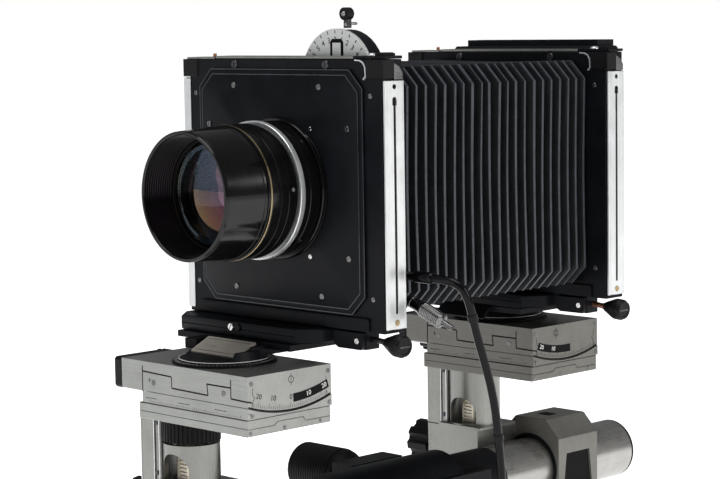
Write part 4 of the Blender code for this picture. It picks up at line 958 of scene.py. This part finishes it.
# --- bellows and back -----------------------------------------------------------------------------
PLEATS = 21
AXIS_X, AXIS_Z = 15.0, 248.9          # the skin's centre line runs along y
SKIN = 1.1                            # thickness of the cloth
VALLEY, VALLEY_CORNER = 59.4, 7.0     # half the width of the octagon in a valley, and its cut corner
FOLD, FOLD_CORNER = 11.4, 4.2         # how much both grow to the ridge
RIDGE = 71.0                          # a pleat's lean is given this far from the centre line
RIDGE_AT, OCTAGON = 0.0688, 1.86      # the painted ridge highlight starts this far out (m); a corner's u + v against a side
BELLOWS_START, BELLOWS_END = -64.3, 103.9
CHAIN = [("front_swing", "front_tilt", 16.5), ("front_tilt", "front_cross", 14), ("front_cross", "front_riser", 8),
         ("front_riser", "front_carriage", 15.75), ("front_carriage", "root", 18.2), ("root", "rear_carriage", 41.5),
         ("rear_carriage", "rear_riser", 15.75), ("rear_riser", "rear_cross", 8), ("rear_cross", "rear_tilt", 14),
         ("rear_tilt", "rear_swing", 16.5)]


def bellows():
    """One folded skin, cut across into stretches, one for each joint of the chain."""
    rng = random.Random(7)
    pitch = (BELLOWS_END - BELLOWS_START) / PLEATS
    shape = []                            # distance along, how far out (0 valley, 1 ridge)
    for k in range(PLEATS):
        start = BELLOWS_START + pitch * k
        lean = rng.uniform(-0.5, 0.5) if 0 < k < PLEATS - 1 else 0.0
        for share, out in ((0.0, 0.0), (0.14, 0.36), (0.30, 0.82), (0.36, 0.98), (0.40, 1.0), (0.60, 1.0),
                           (0.64, 0.98), (0.70, 0.82), (0.86, 0.36)):
            shape.append((start + pitch * share + lean * out, out))
    shape.append((BELLOWS_END, 0.0))
    wave = [rng.uniform(-1, 1) for _ in range(PLEATS + 2)]
    leans = [rng.uniform(-1.5, 1.5) for _ in range(PLEATS + 1)]

    def out_at(y):
        for (y0, a), (y1, b) in zip(shape, shape[1:]):
            if y0 <= y <= y1 and y1 > y0:
                return a + (b - a) * (y - y0) / (y1 - y0)
        return 0.0

    def lean_at(y):
        share = min(1.0, max(0.0, (y - BELLOWS_START) / (BELLOWS_END - BELLOWS_START))) * PLEATS
        k = min(PLEATS - 1, int(share))
        return (leans[k] + (leans[k + 1] - leans[k]) * (share - k)) * math.sin(math.pi * share / PLEATS)

    def ring(y, thick):
        out = out_at(y)
        half = VALLEY + FOLD * out - thick
        corner = VALLEY_CORNER + FOLD_CORNER * out
        sag = 0.35 * wave[min(PLEATS, int((y - BELLOWS_START) / pitch))]
        points = []
        outline = octagon(half, corner)
        for i in range(8):
            a, b = Vector(outline[i]), Vector(outline[(i + 1) % 8])
            count = 8 if (b - a).length > 60 else 3
            for k in range(count):
                t = k / count
                q = a.lerp(b, t)
                pull = math.sin(math.pi * t) * (1.1 * out + sag) if count == 8 else 0.0
                q -= q.normalized() * max(0.0, pull)
                points.append((q.x, q.y))
        return points

    y0 = BELLOWS_START
    for index, (body_a, body_b, length) in enumerate(CHAIN):
        y1 = min(BELLOWS_END, y0 + length)
        stations = sorted({y0, y1} | {y for y, _ in shape if y0 + 0.15 < y < y1 - 0.15})
        work = bmesh.new()
        rows = []
        for thick in (0.0, SKIN):
            for y in (stations if thick == 0.0 else stations[::-1]):
                rows.append([work.verts.new((AXIS_X + u, y + lean_at(y) * (v + 0.4 * u) / RIDGE, AXIS_Z + v))
                             for u, v in ring(y, thick)])
        for low, high in zip(rows, rows[1:] + rows[:1]):
            for a, b, c, d in zip(low, low[1:] + low[:1], high[1:] + high[:1], high):
                work.faces.new([a, b, c, d])
        made = put("bellows_stretch_%02d" % (index + 1), work, None, "bellows", sharp=38.0)
        # the outer ridge faces take the lighter colour as a painted highlight
        made.data.materials.append(RIDGE_HIGHLIGHT)
        for face in made.data.polygons:
            u, v = abs(face.center.x - AXIS_X * MM), abs(face.center.z - AXIS_Z * MM)
            on_ridge = max(u, v, (u + v) / OCTAGON) > RIDGE_AT and abs(face.normal.y) < 0.35
            face.material_index = 1 if on_ridge else 0
        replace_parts(made, "bellows")
        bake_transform(made)
        y0 = y1


def back_pieces():
    """Focusing back: frame, spring clips, screws and the ruled glass."""
    swing = "rear_swing"
    back, pane = plane("+Y", *at("rear_", 0, 44.4, 0)), plane("+Y", *at("rear_", 0, 24.7, 0))
    cut = groove().rect(back, -53.5, -65.5, 53.5, 65.5, -1.2, 1.0)
    for face, x in (("-X", -60), ("+X", 60)):
        cut.rect(plane(face, *at("rear_", x, 30.5, 0)), -0.4, -80, 0.4, 90, -0.8, 1.0)
    refined("back_frame", swing, "black_anodised", 0.8, cuts=(cut,), segments=3)
    refined("ground_glass", swing, "ground_glass", 0.2)
    grid = Detail("glass_grid", swing, look=MARK_BLACK)
    for k in range(-4, 5):
        grid.rect(pane, 10.0 * k - 0.1, -61, 10.0 * k + 0.1, 61, 0.0, 0.05)
    for k in range(-6, 7):
        grid.rect(pane, -49, 10.0 * k - 0.1, 49, 10.0 * k + 0.1, 0.0, 0.05)
    grid.done()
    clips = Detail("glass_clips", swing, "chrome")
    for u, v, w, h in ((-46, 0, 2, 8), (46, 0, 2, 8), (0, 58, 8, 2), (0, -58, 8, 2)):
        clips.rect(pane, u - w, v - h, u + w, v + h, 0.1, 0.9, 0.25).screw(pane, u, v, 1.4, 0.5, 40, 0.9)
    clips.done()
    springs = Detail("back_springs", swing, "bright_rail", None, 0.15)
    for u in (-57, 57):
        springs.rect(back, u - 2.2, -48, u + 2.2, 48, -0.9, -0.1)
    springs.done()
    screws = Detail("back_screws", swing, look=DARK_STEEL)
    for u in (-56.8, 56.8):
        for v in (-58.0, -52.0, 52.0, 58.0, 72.0):
            screws.screw(back, u, v, 1.6, 0.4, 3 * v, -0.45)
    screws.done()
    Detail("rear_side_catch", swing, "cast_grey", None, 0.3).rect(
        plane("+X", *at("rear_", 60.0, 17.4, 20.0)), 0.0, -5.0, 9.0, 5.0, 0.0, 2.2, 0.6).done()


# --- assembly ----------------------------------------------------------------------------------------
lens_board()
lens()
shutter()
for standard in ("front_", "rear_"):
    frame_pieces(standard)
    turret_pieces(standard)
    block_pieces(standard)
    column_pieces(standard)
rail_pieces()
bellows()
back_pieces()


# --- stage -------------------------------------------------------------------------------------------
def area_light(name, place, target, size, power, colour=(1, 1, 1)):
    lamp = bpy.data.lights.new(name, "AREA")
    lamp.shape, lamp.size, lamp.energy, lamp.color = "DISK", size, power, colour
    made = bpy.data.objects.new(name, lamp)
    bpy.context.collection.objects.link(made)
    made.location = place
    made.rotation_euler = (Vector(target) - Vector(place)).to_track_quat("-Z", "Y").to_euler()


def studio():
    """A plain pale floor under soft light; the world is white to the eye and dimmer as a light."""
    area_light("top_light", (0.1, -0.3, 2.0), (0, 0, 0.2), 1.6, 22)
    area_light("side_light", (1.9, 0.5, 1.0), (0, 0, 0.2), 1.3, 20, (1.0, 0.98, 0.95))
    area_light("front_light", (-0.5, -2.1, 0.9), (0, 0, 0.2), 1.2, 6, (0.93, 0.96, 1.0))
    work = bmesh.new()
    bmesh.ops.create_circle(work, cap_ends=True, segments=96, radius=14.0)
    mesh = bpy.data.meshes.new("floor")
    work.to_mesh(mesh)
    work.free()
    floor = bpy.data.objects.new("floor", mesh)
    floor.location.z = -0.0004
    bpy.context.collection.objects.link(floor)
    mesh.materials.append(finish("floor_paper", (0.86, 0.86, 0.86), (0.90, 0.90, 0.90), 0.0, 0.8, 300, 0.00002,
                                 Emission_Color=(1, 1, 1, 1), Emission_Strength=0.94))
    world = bpy.data.worlds.new("studio")
    bpy.context.scene.world = world
    world.use_nodes = True
    tree = world.node_tree
    shade = tree.nodes["Background"]
    mix = tree.nodes.new("ShaderNodeMixShader")
    seen = tree.nodes.new("ShaderNodeBackground")
    seen.inputs["Strength"].default_value = 1.0
    seen.inputs["Color"].default_value = (1, 1, 1, 1)
    shade.inputs["Color"].default_value = (0.96, 0.98, 1.0, 1)
    shade.inputs["Strength"].default_value = 0.16
    path = tree.nodes.new("ShaderNodeLightPath")
    tree.links.new(path.outputs["Is Camera Ray"], mix.inputs["Fac"])
    tree.links.new(shade.outputs[0], mix.inputs[1])
    tree.links.new(seen.outputs[0], mix.inputs[2])
    tree.links.new(mix.outputs[0], tree.nodes["World Output"].inputs["Surface"])
    bpy.context.scene.view_settings.view_transform = "Standard"


studio()
